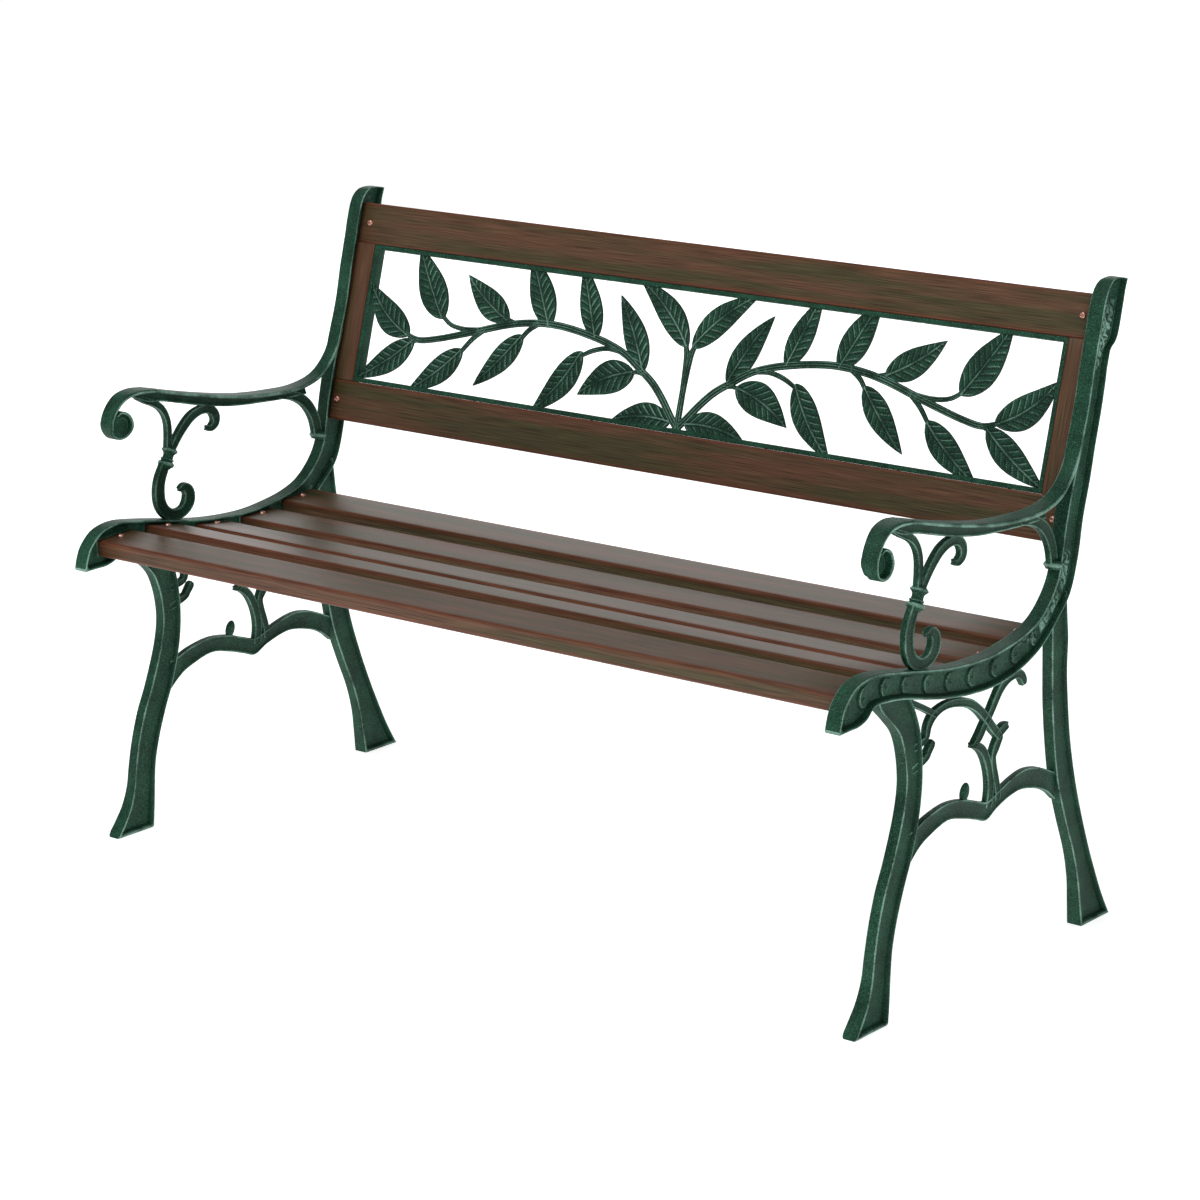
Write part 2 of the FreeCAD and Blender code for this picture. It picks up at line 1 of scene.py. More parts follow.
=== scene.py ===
# %% [markdown]
# # Garden bench: two cast-iron ends, five hardwood slats, and a cast panel of leafy branches
#
# The bench was designed first as exact solids, and that design is the frame that everything here hangs
# on. This script gives each piece the surface that the plain design leaves out: rounded rims on the
# castings, rimmed scrolls, domed leaves with veins, eased edges on the timber, and paint, stain and
# plating. Everything is in metres, with +X along the bench, +Y to the back and +Z up.

# %% Load the frame
import math

import bmesh
import bpy
from mathutils import Matrix, Vector, noise


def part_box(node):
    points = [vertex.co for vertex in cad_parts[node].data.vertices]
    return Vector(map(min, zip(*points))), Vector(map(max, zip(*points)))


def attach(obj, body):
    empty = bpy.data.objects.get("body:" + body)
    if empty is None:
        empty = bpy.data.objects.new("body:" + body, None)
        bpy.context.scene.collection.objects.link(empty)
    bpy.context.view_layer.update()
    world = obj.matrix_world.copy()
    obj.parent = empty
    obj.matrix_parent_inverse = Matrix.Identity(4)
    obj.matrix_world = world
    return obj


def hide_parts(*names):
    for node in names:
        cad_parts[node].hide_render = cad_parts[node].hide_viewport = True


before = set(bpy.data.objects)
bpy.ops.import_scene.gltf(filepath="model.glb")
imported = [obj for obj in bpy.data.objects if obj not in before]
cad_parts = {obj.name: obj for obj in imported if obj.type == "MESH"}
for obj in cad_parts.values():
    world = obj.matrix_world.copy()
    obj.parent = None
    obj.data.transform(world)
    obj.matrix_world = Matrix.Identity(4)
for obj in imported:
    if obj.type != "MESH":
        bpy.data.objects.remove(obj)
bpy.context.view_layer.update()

scene = bpy.context.scene
MM = 0.001
print("nodes in the frame:", len(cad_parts))

# %% [markdown]
# ## Camera
#
# A long lens from a little above seat height shows the right-hand end in full, the whole seat, and the
# panel in the back. The camera looks along one direction and is turned a hair about its own axis, so its
# matrix is built from three directions: right, up and back.

# %% Camera
CAMERA_TURN = math.radians(38.2302)
CAMERA_RISE = math.radians(14.9133)
CAMERA_ROLL = math.radians(-0.1405)
CAMERA_PLACE = Vector((2.8334, -3.5610, 1.5786))
LENS_MM = 112.72

back = Vector((math.sin(CAMERA_TURN) * math.cos(CAMERA_RISE),
               -math.cos(CAMERA_TURN) * math.cos(CAMERA_RISE),
               math.sin(CAMERA_RISE)))
level = Vector((math.cos(CAMERA_TURN), math.sin(CAMERA_TURN), 0))
upright = back.cross(level)
right = level * math.cos(CAMERA_ROLL) + upright * math.sin(CAMERA_ROLL)
up = upright * math.cos(CAMERA_ROLL) - level * math.sin(CAMERA_ROLL)
camera_data = bpy.data.cameras.new("camera")
camera_data.lens = LENS_MM
camera_data.sensor_width = 36
camera_data.clip_end = 100
camera = bpy.data.objects.new("camera", camera_data)
scene.collection.objects.link(camera)
camera.matrix_world = Matrix.Translation(CAMERA_PLACE) @ Matrix((right, up, back)).transposed().to_4x4()
scene.camera = camera
print("camera", round((CAMERA_PLACE - Vector((0, 0, 0.4))).length, 2), "m from the bench")

# %% [markdown]
# ## Colours and nodes
#
# Colours are chosen as the hex values that a colour picker shows, and a shader needs them as linear
# light. One small function adds a node with its settings and its links, so that each material below reads
# as a list of what it does.


# %% Colour and node helpers
def linear(hex_colour):
    """An sRGB hex value such as "2F5243" as a linear RGBA colour."""
    parts = [int(hex_colour[i:i + 2], 16) / 255 for i in (0, 2, 4)]
    return [c / 12.92 if c <= 0.04045 else ((c + 0.055) / 1.055) ** 2.4 for c in parts] + [1]


def add_node(tree, kind, settings=None, stops=(), **sockets):
    """Add a node. A socket is named with _ for a space, or in0, in1... for its number; a tuple is a link.
    The two stops of a colour ramp are pairs of position and hex colour."""
    node = tree.nodes.new("ShaderNode" + kind)
    for element, (position, hex_colour) in zip(node.color_ramp.elements if stops else (), stops):
        element.position = position
        element.color = linear(hex_colour)
    for key, value in (settings or {}).items():
        setattr(node, key, value)
    for key, value in sockets.items():
        socket = node.inputs[int(key[2:])] if key[:2] == "in" and key[2:].isdigit() else \
            node.inputs[key.replace("_", " ")]
        if isinstance(value, tuple):
            tree.links.new(value[0].outputs[value[1]], socket)
        else:
            socket.default_value = value
    return node


def new_material(name):
    """An empty material and its node tree, with the output node kept."""
    material = bpy.data.materials.new(name)
    material.use_nodes = True
    tree = material.node_tree
    tree.nodes.remove(tree.nodes["Principled BSDF"])
    return material, tree


def coat(material, tree, **sockets):
    """Give the material its shader, with these sockets, and return it."""
    shader = add_node(tree, "BsdfPrincipled", **sockets)
    tree.links.new(shader.outputs["BSDF"], tree.nodes["Material Output"].inputs["Surface"])
    return material


def fading(low, high):
    """Stops for a mask: black below low, white above high."""
    return (low, "000000"), (high, "FFFFFF")


print("colours are sRGB hex, for example 2F5243 is", [round(c, 3) for c in linear("2F5243")[:3]])

# %% [markdown]
# ## Green paint on sand-cast iron
#
# Sand casting leaves a pebbled skin with grains of a millimetre or so, and the paint over it is a satin
# alkyd enamel. It gives the eye a soft sheen broken up by fine grain, with painted shade in the pits of
# the grain and painted highlight on its peaks, painted shade in grooves and recesses, and paler green along
# the edges, partly where hands and weather rub and partly painted highlight. Each piece carries two
# values on its points: one high on edges and ridges, for the rubbing and the painted highlight, and one
# high in grooves, in recesses and along cut edges, for the painted shade.


# %% Cast-iron paint
GRAIN_MM = 1.3          # sand grains in the casting's skin
BLOTCH_MM = 30.0        # slow changes in the paint

def cast_iron_paint():
    """Alkyd enamel over sand skin: painted shade in the low spots of its grain and painted highlight on the
    high ones, painted shade in grooves, and a lighter green on edges that is rubbing and painted highlight
    both.
    """
    material, tree = new_material("green_enamel_on_sand_cast_iron")
    place = add_node(tree, "TexCoord")
    grain = add_node(tree, "TexNoise", Vector=(place, "Object"), Scale=1 / (GRAIN_MM * MM), Detail=3.0)
    blotch = add_node(tree, "TexNoise", Vector=(place, "Object"), Scale=1 / (BLOTCH_MM * MM), Detail=4.0)
    wear = add_node(tree, "Attribute", {"attribute_name": "wear"})
    hollow = add_node(tree, "Attribute", {"attribute_name": "hollow"})
    body = add_node(tree, "ValToRGB", stops=((0.35, "153C2A"), (0.7, "25573F")), Fac=(blotch, "Fac"))
    # painted shade in the low spots of the grain, and below it painted highlight specks on the high spots,
    # where the bump stands highest
    pit_shade = add_node(tree, "ValToRGB", stops=((0.34, "FFFFFF"), (0.5, "000000")), Fac=(grain, "Fac"))
    pit_shaded = add_node(tree, "Mix", {"data_type": "RGBA"}, in0=(pit_shade, "Color"), in6=(body, "Color"),
                      in7=linear("0B2218"))
    speck_highlight = add_node(tree, "ValToRGB", stops=fading(0.56, 0.74), Fac=(grain, "Fac"))
    speck_highlighted = add_node(tree, "Mix", {"data_type": "RGBA"}, in0=(speck_highlight, "Color"), in6=(pit_shaded, "Result"),
                        in7=linear("4C7866"))
    # paler on edges and ridges: partly rubbing, partly painted highlight, broken up by the grain and the
    # blotches
    rub_and_highlight = add_node(tree, "Math", {"operation": "MULTIPLY"}, in0=(wear, "Fac"), in1=(grain, "Fac"))
    uneven = add_node(tree, "MapRange", Value=(blotch, "Fac"), From_Min=0.35, From_Max=0.65, To_Min=0.6,
                      To_Max=1.3)
    rub_and_highlight = add_node(tree, "Math", {"operation": "MULTIPLY"}, in0=(rub_and_highlight, "Value"), in1=(uneven, "Result"))
    rub_and_highlight_mask = add_node(tree, "ValToRGB", stops=fading(0.17, 0.62), Fac=(rub_and_highlight, "Value"))
    paled_by_rub_and_highlight = add_node(tree, "Mix", {"data_type": "RGBA"}, in0=(rub_and_highlight_mask, "Color"), in6=(speck_highlighted, "Result"),
                     in7=linear("8DB5A3"))
    # painted shade: much darker where the shade value is high, in grooves, recesses, leaf valleys and along
    # cut edges
    sunk = add_node(tree, "Math", {"operation": "MULTIPLY"}, in0=(hollow, "Fac"), in1=0.85)
    colour = add_node(tree, "Mix", {"data_type": "RGBA"}, in0=(sunk, "Value"), in6=(paled_by_rub_and_highlight, "Result"),
                      in7=linear("07170F"))
    gloss = add_node(tree, "MapRange", Value=(grain, "Fac"), To_Min=0.4, To_Max=0.66)
    bump = add_node(tree, "Bump", Height=(grain, "Fac"), Strength=0.9, Distance=0.5 * MM)
    return coat(material, tree, Base_Color=(colour, "Result"), Roughness=(gloss, "Result"),
                Normal=(bump, "Normal"), IOR=1.45, Specular_IOR_Level=0.2)


paint = cast_iron_paint()
print("paint grain", GRAIN_MM, "mm")

# %% [markdown]
# ## Stained hardwood
#
# The timber is a plain close-grained hardwood, planed, stained brown and finished with a thin satin oil.
# It gives the eye long streaks: olive where the stain sits thin, red-brown where it has soaked in, and a
# redder line along the eased edges. The pattern follows each board, so every board carries `grain`, its
# own coordinates along, across and through the wood, shifted so that no two boards are alike.


# %% Stained wood
FIBRE_MM = (70.0, 0.9)      # fine fibres: length, width
STREAK_MM = (420.0, 20.0)   # streaks of thin and thick stain
PATCH_MM = (420.0, 38.0)    # broad red-brown patches

def stained_wood():
    """Planed hardwood: fine dark fibres over slow changes from brown to olive and red-brown."""
    material, tree = new_material("brown_stained_hardwood")
    grain = add_node(tree, "Attribute", {"attribute_name": "grain"})
    wear = add_node(tree, "Attribute", {"attribute_name": "wear"})
    layers = []
    for length, width in (FIBRE_MM, STREAK_MM, PATCH_MM):
        scale = [1 / (length * MM), 1 / (width * MM), 1 / (width * MM)]
        stretched = add_node(tree, "Mapping", Vector=(grain, "Vector"), Scale=scale)
        layers.append(add_node(tree, "TexNoise", Vector=(stretched, "Vector"), Scale=1.0, Detail=3.0))
    fibre, streak, patch = layers
    olive = add_node(tree, "ValToRGB", stops=fading(0.4, 0.58), Fac=(streak, "Fac"))
    body = add_node(tree, "Mix", {"data_type": "RGBA"}, in0=(olive, "Color"), in6=linear("77553E"),
                    in7=linear("5B5335"))
    red = add_node(tree, "ValToRGB", stops=fading(0.54, 0.76), Fac=(patch, "Fac"))
    redder = add_node(tree, "Mix", {"data_type": "RGBA"}, in0=(red, "Color"), in6=(body, "Result"),
                      in7=linear("805440"))
    edge = add_node(tree, "Math", {"operation": "MULTIPLY"}, in0=(wear, "Fac"), in1=0.7)
    edged = add_node(tree, "Mix", {"data_type": "RGBA"}, in0=(edge, "Value"), in6=(redder, "Result"),
                     in7=linear("80452D"))
    lines = add_node(tree, "ValToRGB", stops=((0.3, "8C8378"), (0.7, "FFFFFF")), Fac=(fibre, "Fac"))
    colour = add_node(tree, "Mix", {"data_type": "RGBA", "blend_type": "MULTIPLY"}, in0=1.0,
                      in6=(edged, "Result"), in7=(lines, "Color"))
    gloss = add_node(tree, "MapRange", Value=(fibre, "Fac"), To_Min=0.4, To_Max=0.55)
    bump = add_node(tree, "Bump", Height=(fibre, "Fac"), Strength=0.35, Distance=0.12 * MM)
    return coat(material, tree, Base_Color=(colour, "Result"), Roughness=(gloss, "Result"),
                Normal=(bump, "Normal"), IOR=1.48, Specular_IOR_Level=0.3)


wood = stained_wood()
print("wood fibres", FIBRE_MM[1], "mm wide")

# %% [markdown]
# ## Fastener metals, and the beech of the hidden dowels
#
# The bolts are steel with a thin copper plating, turned and tumbled, so they are pinkish and half
# polished. Washers, nuts and screws are zinc-plated and a little dull. The dowels are plain fluted beech
# that nobody sees once the joint is closed. Metals keep the shader's own IOR.


# %% Metals and beech
MARK_MM, TONE_MM = 0.8, 4.0     # tumbling marks, and slow changes in the plating


def plated_steel(name, darker, lighter, dull):
    """Plated steel: fine tumbling marks in the gloss, a slow change of tone over a few millimetres."""
    material, tree = new_material(name)
    place = add_node(tree, "TexCoord")
    marks = add_node(tree, "TexNoise", Vector=(place, "Object"), Scale=1 / (MARK_MM * MM), Detail=2.0)
    tone = add_node(tree, "TexNoise", Vector=(place, "Object"), Scale=1 / (TONE_MM * MM), Detail=2.0)
    tint = add_node(tree, "ValToRGB", stops=((0.3, darker), (0.7, lighter)), Fac=(tone, "Fac"))
    gloss = add_node(tree, "MapRange", Value=(marks, "Fac"), To_Min=dull - 0.08, To_Max=dull + 0.1)
    return coat(material, tree, Base_Color=(tint, "Color"), Roughness=(gloss, "Result"), Metallic=1.0)


def dowel_beech():
    """Plain beech: pale, with short darker flecks about a millimetre wide along the dowel."""
    material, tree = new_material("fluted_beech")
    place = add_node(tree, "TexCoord")
    stretched = add_node(tree, "Mapping", Vector=(place, "Object"), Scale=[900, 900, 60])
    fleck = add_node(tree, "TexNoise", Vector=(stretched, "Vector"), Scale=1.0, Detail=2.0)
    tint = add_node(tree, "ValToRGB", stops=((0.35, "A8845C"), (0.65, "C8A678")), Fac=(fleck, "Fac"))
    return coat(material, tree, Base_Color=(tint, "Color"), Roughness=0.6, IOR=1.5)


copper = plated_steel("copper_plated_steel", "B98574", "E3B3A3", 0.34)
zinc = plated_steel("zinc_plated_steel", "8E9193", "B4B7B8", 0.42)
beech = dowel_beech()
for node, material in (("seat_nuts", zinc), ("seat_washers", zinc), ("back_nuts", zinc),
                       ("back_washers", zinc), ("panel_screws", zinc), ("stile_dowels", beech)):
    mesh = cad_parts[node].data
    mesh.materials.clear()
    mesh.materials.append(material)
print("metals and beech:", copper.name, zinc.name, beech.name)

# %% [markdown]
# ## One way to shape a casting: sweep a section along an outline
#
# A pattern maker cuts each limb from an outline and then rounds it to a section. Here the outline is a
# few listed points, a smooth line runs through them, and a section of points is carried along it.
# The mesh starts as a flat grid with one row per place on the line and one column per point of the
# section; moving its points into place bends it to the limb, and merging its two long sides closes it
# into a tube. A curve with a bevel could carry a section too, but the section could not change its shape
# on the way, and its points could not carry wear.


# %% Drawing places and smooth lines
DRAWN_NOSE, DRAWN_HEEL, DRAWN_TOP = -41, 555, 802
ARM_WIDTH = 32

frame_low, frame_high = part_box("end_frame_right")
frame_x = frame_high.x - ARM_WIDTH / 2 * MM


def side(y, z, x=0.0):
    """A point of the right-hand end: y and z as drawn in its side view, x outward of its middle plane."""
    share = (y - DRAWN_NOSE) / (DRAWN_HEEL - DRAWN_NOSE)
    return Vector((frame_x + x * MM, frame_low.y + share * (frame_high.y - frame_low.y),
                   z / DRAWN_TOP * frame_high.z))


def through(points, steps):
    """A smooth line through the points, with `steps` places in each gap. A point has any number of values."""
    points = [Vector(p) for p in points]
    ends = [points[0] * 2 - points[1]] + points + [points[-1] * 2 - points[-2]]
    line = []
    for a, b, c, d in zip(ends, ends[1:], ends[2:], ends[3:]):
        for k in range(steps):
            t = k / steps
            line.append((b * 2 + (c - a) * t + (a * 2 - b * 5 + c * 4 - d) * t ** 2
                         + (b * 3 - a - c * 3 + d) * t ** 3) / 2)
    return line + [points[-1]]


def ease(value):
    """0 below 0, 1 above 1, and a smooth step between."""
    value = min(max(value, 0), 1)
    return value * value * (3 - 2 * value)


print("middle plane of the right-hand end: x", round(frame_x / MM, 1), "mm")

# %% Sweep into a mesh
MERGE_M = 1e-7          # points this close, in metres, are one point


def start_mesh():
    """An empty bmesh whose points can carry paleness for rubbing and painted highlight, painted shade, and
    grain.
    """
    shape = bmesh.new()
    shape.verts.layers.float.new("wear")
    shape.verts.layers.float.new("hollow")
    shape.verts.layers.float_vector.new("grain")
    return shape


def sweep(shape, rows):
    """Add a closed tube. Each row is a loop of (place, rubbing and painted highlight, painted shade) or
    (place, rubbing and painted highlight, painted shade, grain).
    """
    wear = shape.verts.layers.float["wear"]
    hollow = shape.verts.layers.float["hollow"]
    grain = shape.verts.layers.float_vector["grain"]
    columns = len(rows[0])
    made = bmesh.ops.create_grid(shape, x_segments=columns, y_segments=len(rows) - 1, size=1)["verts"]
    for i, vert in enumerate(made):
        point = rows[i // (columns + 1)][i % (columns + 1) % columns]
        vert.co = point[0]
        vert[wear] = point[1]
        vert[hollow] = point[2]
        if len(point) > 3:
            vert[grain] = point[3]
    bmesh.ops.remove_doubles(shape, verts=made, dist=MERGE_M)
    kept = [v for v in made if v.is_valid]
    rims = {e for v in kept for e in v.link_edges if e.is_boundary}
    bmesh.ops.holes_fill(shape, edges=list(rims), sides=0)


print("points closer than", MERGE_M, "m are one point")

# %% [markdown]
# ## Turned shapes, and finishing a piece
#
# Collars, knobs and bolts are round about an axis. A cylinder with bevels would do for a plain one, but a
# profile of a dozen points spun about the axis gives every bead and waist at once, as a lathe does. A
# finished piece is shaded smooth with its sharp edges kept crisp, and is tied to the bench.


# %% Turned shapes and finishing
SHARP_DEGREES = 38      # edges that turn more than this stay crisp


def turned(shape, centre, axis, profile, steps=28):
    """Add a turned shape. The profile, from axis to axis, gives radius, height along the axis, and how pale a
    point is, as rubbing and painted highlight.
    """
    wear = shape.verts.layers.float["wear"]
    axis = axis.normalized()
    out = axis.orthogonal().normalized()
    verts = []
    for radius, height, worn_and_highlit in profile:
        vert = shape.verts.new(centre + (out * radius + axis * height) * MM)
        vert[wear] = worn_and_highlit
        verts.append(vert)
    edges = [shape.edges.new(pair) for pair in zip(verts, verts[1:])]
    before = set(shape.verts) - set(verts)
    bmesh.ops.spin(shape, geom=verts + edges, cent=centre, axis=axis, angle=math.tau, steps=steps,
                   use_merge=True)
    bmesh.ops.remove_doubles(shape, verts=[v for v in shape.verts if v not in before], dist=10 * MERGE_M)


def finish_piece(shape, name, material, slot, *nodes):
    """Turn a bmesh into an object with smooth shading, riding on the bench and standing for its CAD nodes."""
    bmesh.ops.dissolve_degenerate(shape, edges=shape.edges[:], dist=MERGE_M)
    bmesh.ops.recalc_face_normals(shape, faces=shape.faces[:])
    for face in shape.faces:
        face.smooth = True
    mesh = bpy.data.meshes.new(name)
    shape.to_mesh(mesh)
    shape.free()
    mesh.set_sharp_from_angle(angle=math.radians(SHARP_DEGREES))
    mesh.materials.append(material)
    piece = bpy.data.objects.new(name, mesh)
    scene.collection.objects.link(piece)
    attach(piece, "root")
    if nodes:
        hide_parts(*nodes)
    print(name, len(mesh.polygons), "faces")


print("edges stay crisp above", SHARP_DEGREES, "degrees")

# %% [markdown]
# ## The limbs of an end: I-shaped beams
#
# The seat rail with its post, and both legs, are I-shaped: a thin web with a rim along each edge, which
# is the stiffest use of the iron. Each station below pairs a point on one edge with its partner on the
# other. The section hangs on both points, so the rims keep their thickness while the web stretches
# between them. The hollow closes a few millimetres before an end, which carries the rim round the nose
# and over the post's top, and that closed strip is made paler too, as rubbing and painted highlight. The
# rounded rims are paler in the same way, and the fillets where the web meets the rims carry painted
# shade. Stations are taken every few centimetres along a straight stretch and every few millimetres
# round a nose or a foot.

# %% Limb outlines
# each station: a point on the upper or front edge, its partner on the lower or rear edge, and half the width
SEAT_AND_POST = [
    (-41, 376, -40, 372, 10.5), (-38.5, 386, -30, 372.3, 10.5), (-31, 402, -18, 372.6, 10.5),
    (-14, 417.5, -3, 373, 10.5), (5, 424, 13, 378, 10.5), (27, 425.5, 27, 388.5, 10.5),
    (55, 422, 50, 388.5, 10.5), (90, 416, 85, 384, 10.5), (135, 407.5, 130, 373.5, 10.5),
    (180, 400, 176, 364, 10.5), (225, 395.7, 224, 357.5, 10.5), (268, 394.7, 270, 355.5, 10.5),
    (306, 398.3, 311, 359, 10.3), (342, 404.5, 351, 369, 10), (374, 416, 385, 384, 9.6),
    (398.5, 436, 415, 407, 9.2), (414.5, 459.5, 442, 434, 9), (420.5, 486, 457.5, 476.5, 9),
    (426.5, 519.5, 465.5, 521.5, 9.4), (437.5, 562.5, 477.5, 565.5, 10), (450.5, 603.5, 487, 607.5, 10.5),
    (464.5, 645, 498, 647, 10.5), (472, 675, 505, 678, 10.5), (476, 694, 508, 695, 10.5),
    (479, 705, 511, 706, 10.5), (481.5, 714, 514, 716, 10.5), (483, 720, 518.5, 721, 10.5),
    (484.5, 726, 524, 724.5, 10.5), (486.5, 733, 529, 730.5, 10.5), (489, 742, 533, 740, 10.5),
    (491.5, 753, 537, 755, 10.5), (495.5, 767, 541, 770, 10.5), (498.5, 776, 545, 786, 10.5),
    (501, 782, 549, 797, 10.5), (504.5, 788.5, 548, 798.5, 10.4), (510, 794.5, 543, 799.7, 10.1),
    (517, 798.8, 534, 800.6, 9.3), (522, 800.4, 526, 800.9, 7.5),
]
FRONT_LEG = [
    (38.5, 390, 102.5, 382, 7.5), (46.5, 378, 107.5, 375, 7.5), (64.5, 362, 116.5, 359, 7.5),
    (83.5, 342, 124.5, 339, 7.5), (94.5, 313, 130, 311, 7.5), (98.5, 282, 131.5, 282, 7.5),
    (94.5, 253, 129.5, 254, 7.5), (85.5, 224, 123.5, 225, 7.5), (71.5, 189, 112, 189, 7.5),
    (57.5, 159, 98.5, 159, 7.5), (45.5, 122, 84.5, 122, 7.5), (38.5, 89, 76, 90, 7.7),
    (34, 61, 72.5, 61, 8.2), (25, 36.5, 70, 36.5, 9.2), (12, 17, 67.5, 18, 10.2),
    (4.5, 7.5, 66, 7.5, 10.5), (1.5, 3, 66, 3, 10.1), (0.3, 0.8, 66, 0.8, 9.0), (0, 0, 66, 0, 8.0),
]
BACK_LEG = [
    (404, 403, 436, 437, 7.5), (405.5, 394, 440, 403, 7.5), (406.5, 374, 443, 377, 7.5),
    (408, 339, 442.5, 339, 7.5), (410.5, 299, 446.5, 299, 7.5), (417.5, 249, 454.5, 249, 7.5),
    (428.5, 199, 467.5, 199, 7.5), (447.5, 149, 485, 149, 7.5), (468, 102, 504, 102, 7.8),
    (479.5, 64, 521, 64, 8.5), (484.5, 32, 536, 32, 9.6), (488, 5.5, 551, 5.5, 10.5),
    (488.5, 0, 555, 0, 10.5),
]
print("stations:", len(SEAT_AND_POST), "+", len(FRONT_LEG), "+", len(BACK_LEG))

# %% Limb section
WEB_HALF = 3.0
CLOSED_WEAR_AND_HIGHLIGHT = 0.65      # how far the closed ends are paler, as rubbing and painted highlight


def limb_side(half_width, sunk):
    """Half of one face's section, from the edge inwards: (distance from the edge, x, rubbing and painted
    highlight, painted shade).
    """
    web = half_width - (half_width - WEB_HALF) * sunk
    lip = half_width - web
    # the third values pale the rounded rim as rubbing and painted highlight; the fourth paint shade in the
    # fillet where the web meets the rim
    return [(0, half_width - 4.0, 0, 0), (0, half_width - 1.3, 0.35, 0), (0.4, half_width - 0.4, 0.95, 0),
            (1.3, half_width, 0.8, 0), (2.6, half_width, 0.2, 0), (3.5, half_width - min(0.4, lip), 0.25, 0),
            (4.1, web + lip * 0.75, 0.1, 0.1), (4.9, web + lip * 0.3, 0, 0.5),
            (5.8, web + lip * 0.07, 0, 0.7), (7.4, web, 0, 0.25)]


def both_faces(near, far, face):
    """The whole section between two edge points, from half of one face: the other half and face mirror it."""
    depth = (far - near).length
    across = (far - near) / depth
    loop = [(near + across * min(d, depth * 0.48), x, w, h) for d, x, w, h in face]
    loop += [(far - across * min(d, depth * 0.48), x, w, h) for d, x, w, h in reversed(face)]
    return [(side(s[0], s[1], x), w, h) for s, x, w, h in loop] + \
        [(side(s[0], s[1], -x), w, h) for s, x, w, h in reversed(loop)]


def limb(shape, stations, closed_start=0.0, closed_end=0.0):
    """Sweep an I-shaped limb. The recess between the rims stays closed for these distances in mm from the two
    ends.
    """
    line = through(stations, 5)
    middles = [Vector(((p[0] + p[2]) / 2, (p[1] + p[3]) / 2)) for p in line]
    runs = [0.0]
    for a, b in zip(middles, middles[1:]):
        runs.append(runs[-1] + (b - a).length)
    rows = []
    for p, run in zip(line, runs):
        near, far = Vector(p[0:2]), Vector(p[2:4])
        depth = (far - near).length
        opened = ease((run - closed_start + 1) / 2.5) * ease((runs[-1] - run - closed_end + 1) / 2.5)
        face = [(distance, x, max(wear, CLOSED_WEAR_AND_HIGHLIGHT * (1 - opened)) if distance > 1 else wear, hollow)
                for distance, x, wear, hollow in limb_side(p[4], ease((depth - 12) / 5) * opened)]
        rows.append(both_faces(near, far, face))
    sweep(shape, rows)


print("web", 2 * WEB_HALF, "mm thick between the rims")

# %% [markdown]
# ## Pockets for the timber
#
# The slats and the back frame enter the inner half of the seat rail and the post, up to the web. On the
# real casting those pockets are in the mould. Here the swept beam is solid, so a cutter the size of each
# timber, grown by a small clearance, is taken out of it with a Boolean. The places of the timbers are
# repeated from the design: the middle of each slat's top face with its slope, and the plane of the back.

# %% Timber places
# each slat: y and z of the middle of its top face, and its slope in degrees
SLATS = [(17.0, 410.0, 2.9), (103.6, 407.5, -9.3), (195.3, 392.4, -6.8), (283.0, 389.4, 0.6),
         (363.4, 399.3, 4.3)]
SLAT_SIZE = (62.0, 21.5)    # width, thickness
RAIL_SIZE = (55.0, 18.0)
POCKET_GAP = 0.3            # clearance round each timber
POCKET_REACH = 0.03         # how far inwards the cutter starts, in metres

timber_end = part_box("seat_slat_1")[1].x
stile_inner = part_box("back_stile_right")[0].x
bottom_middle = side(436.9, 520.9)
top_middle = side(503.7, 756.1)
bottom_middle.x = top_middle.x = 0
up_the_back = (top_middle - bottom_middle).normalized()
out_of_back = Vector((0, -up_the_back.z, up_the_back.y))
ALONG = Vector((1, 0, 0))


def slat_axes(index):
    """The middle of a slat's top face, the direction front to back along it, and its upward normal."""
    y, z, slope = SLATS[index]
    middle = side(y, z)
    middle.x = 0
    angle = math.radians(slope)
    along_slope = Vector((0, math.cos(angle), math.sin(angle)))
    return middle, along_slope, Vector((0, -along_slope.z, along_slope.y))


def block(shape, middle, across, outward, x_from, x_to, width, thickness, ease_mm=0.0, sink=0.0):
    """A board with its front face centred on middle, `sink` mm under it; all sizes across it are in mm."""
    made = bmesh.ops.create_cube(shape, size=1)["verts"]
    centre = middle - outward * ((thickness / 2 + sink) * MM)
    centre.x = (x_from + x_to) / 2
    axes = Matrix((ALONG * (x_to - x_from), across * (width * MM), outward * (thickness * MM))).transposed()
    bmesh.ops.transform(shape, matrix=Matrix.Translation(centre) @ axes.to_4x4(), verts=made)
    if ease_mm:
        edges = list({e for v in made for e in v.link_edges})
        bmesh.ops.bevel(shape, geom=edges, offset=ease_mm * MM, affect="EDGES", segments=2, profile=0.5,
                        material=-1)


print("timber ends at x", round(timber_end / MM, 1), "mm, slats", SLAT_SIZE[0], "x", SLAT_SIZE[1], "mm")


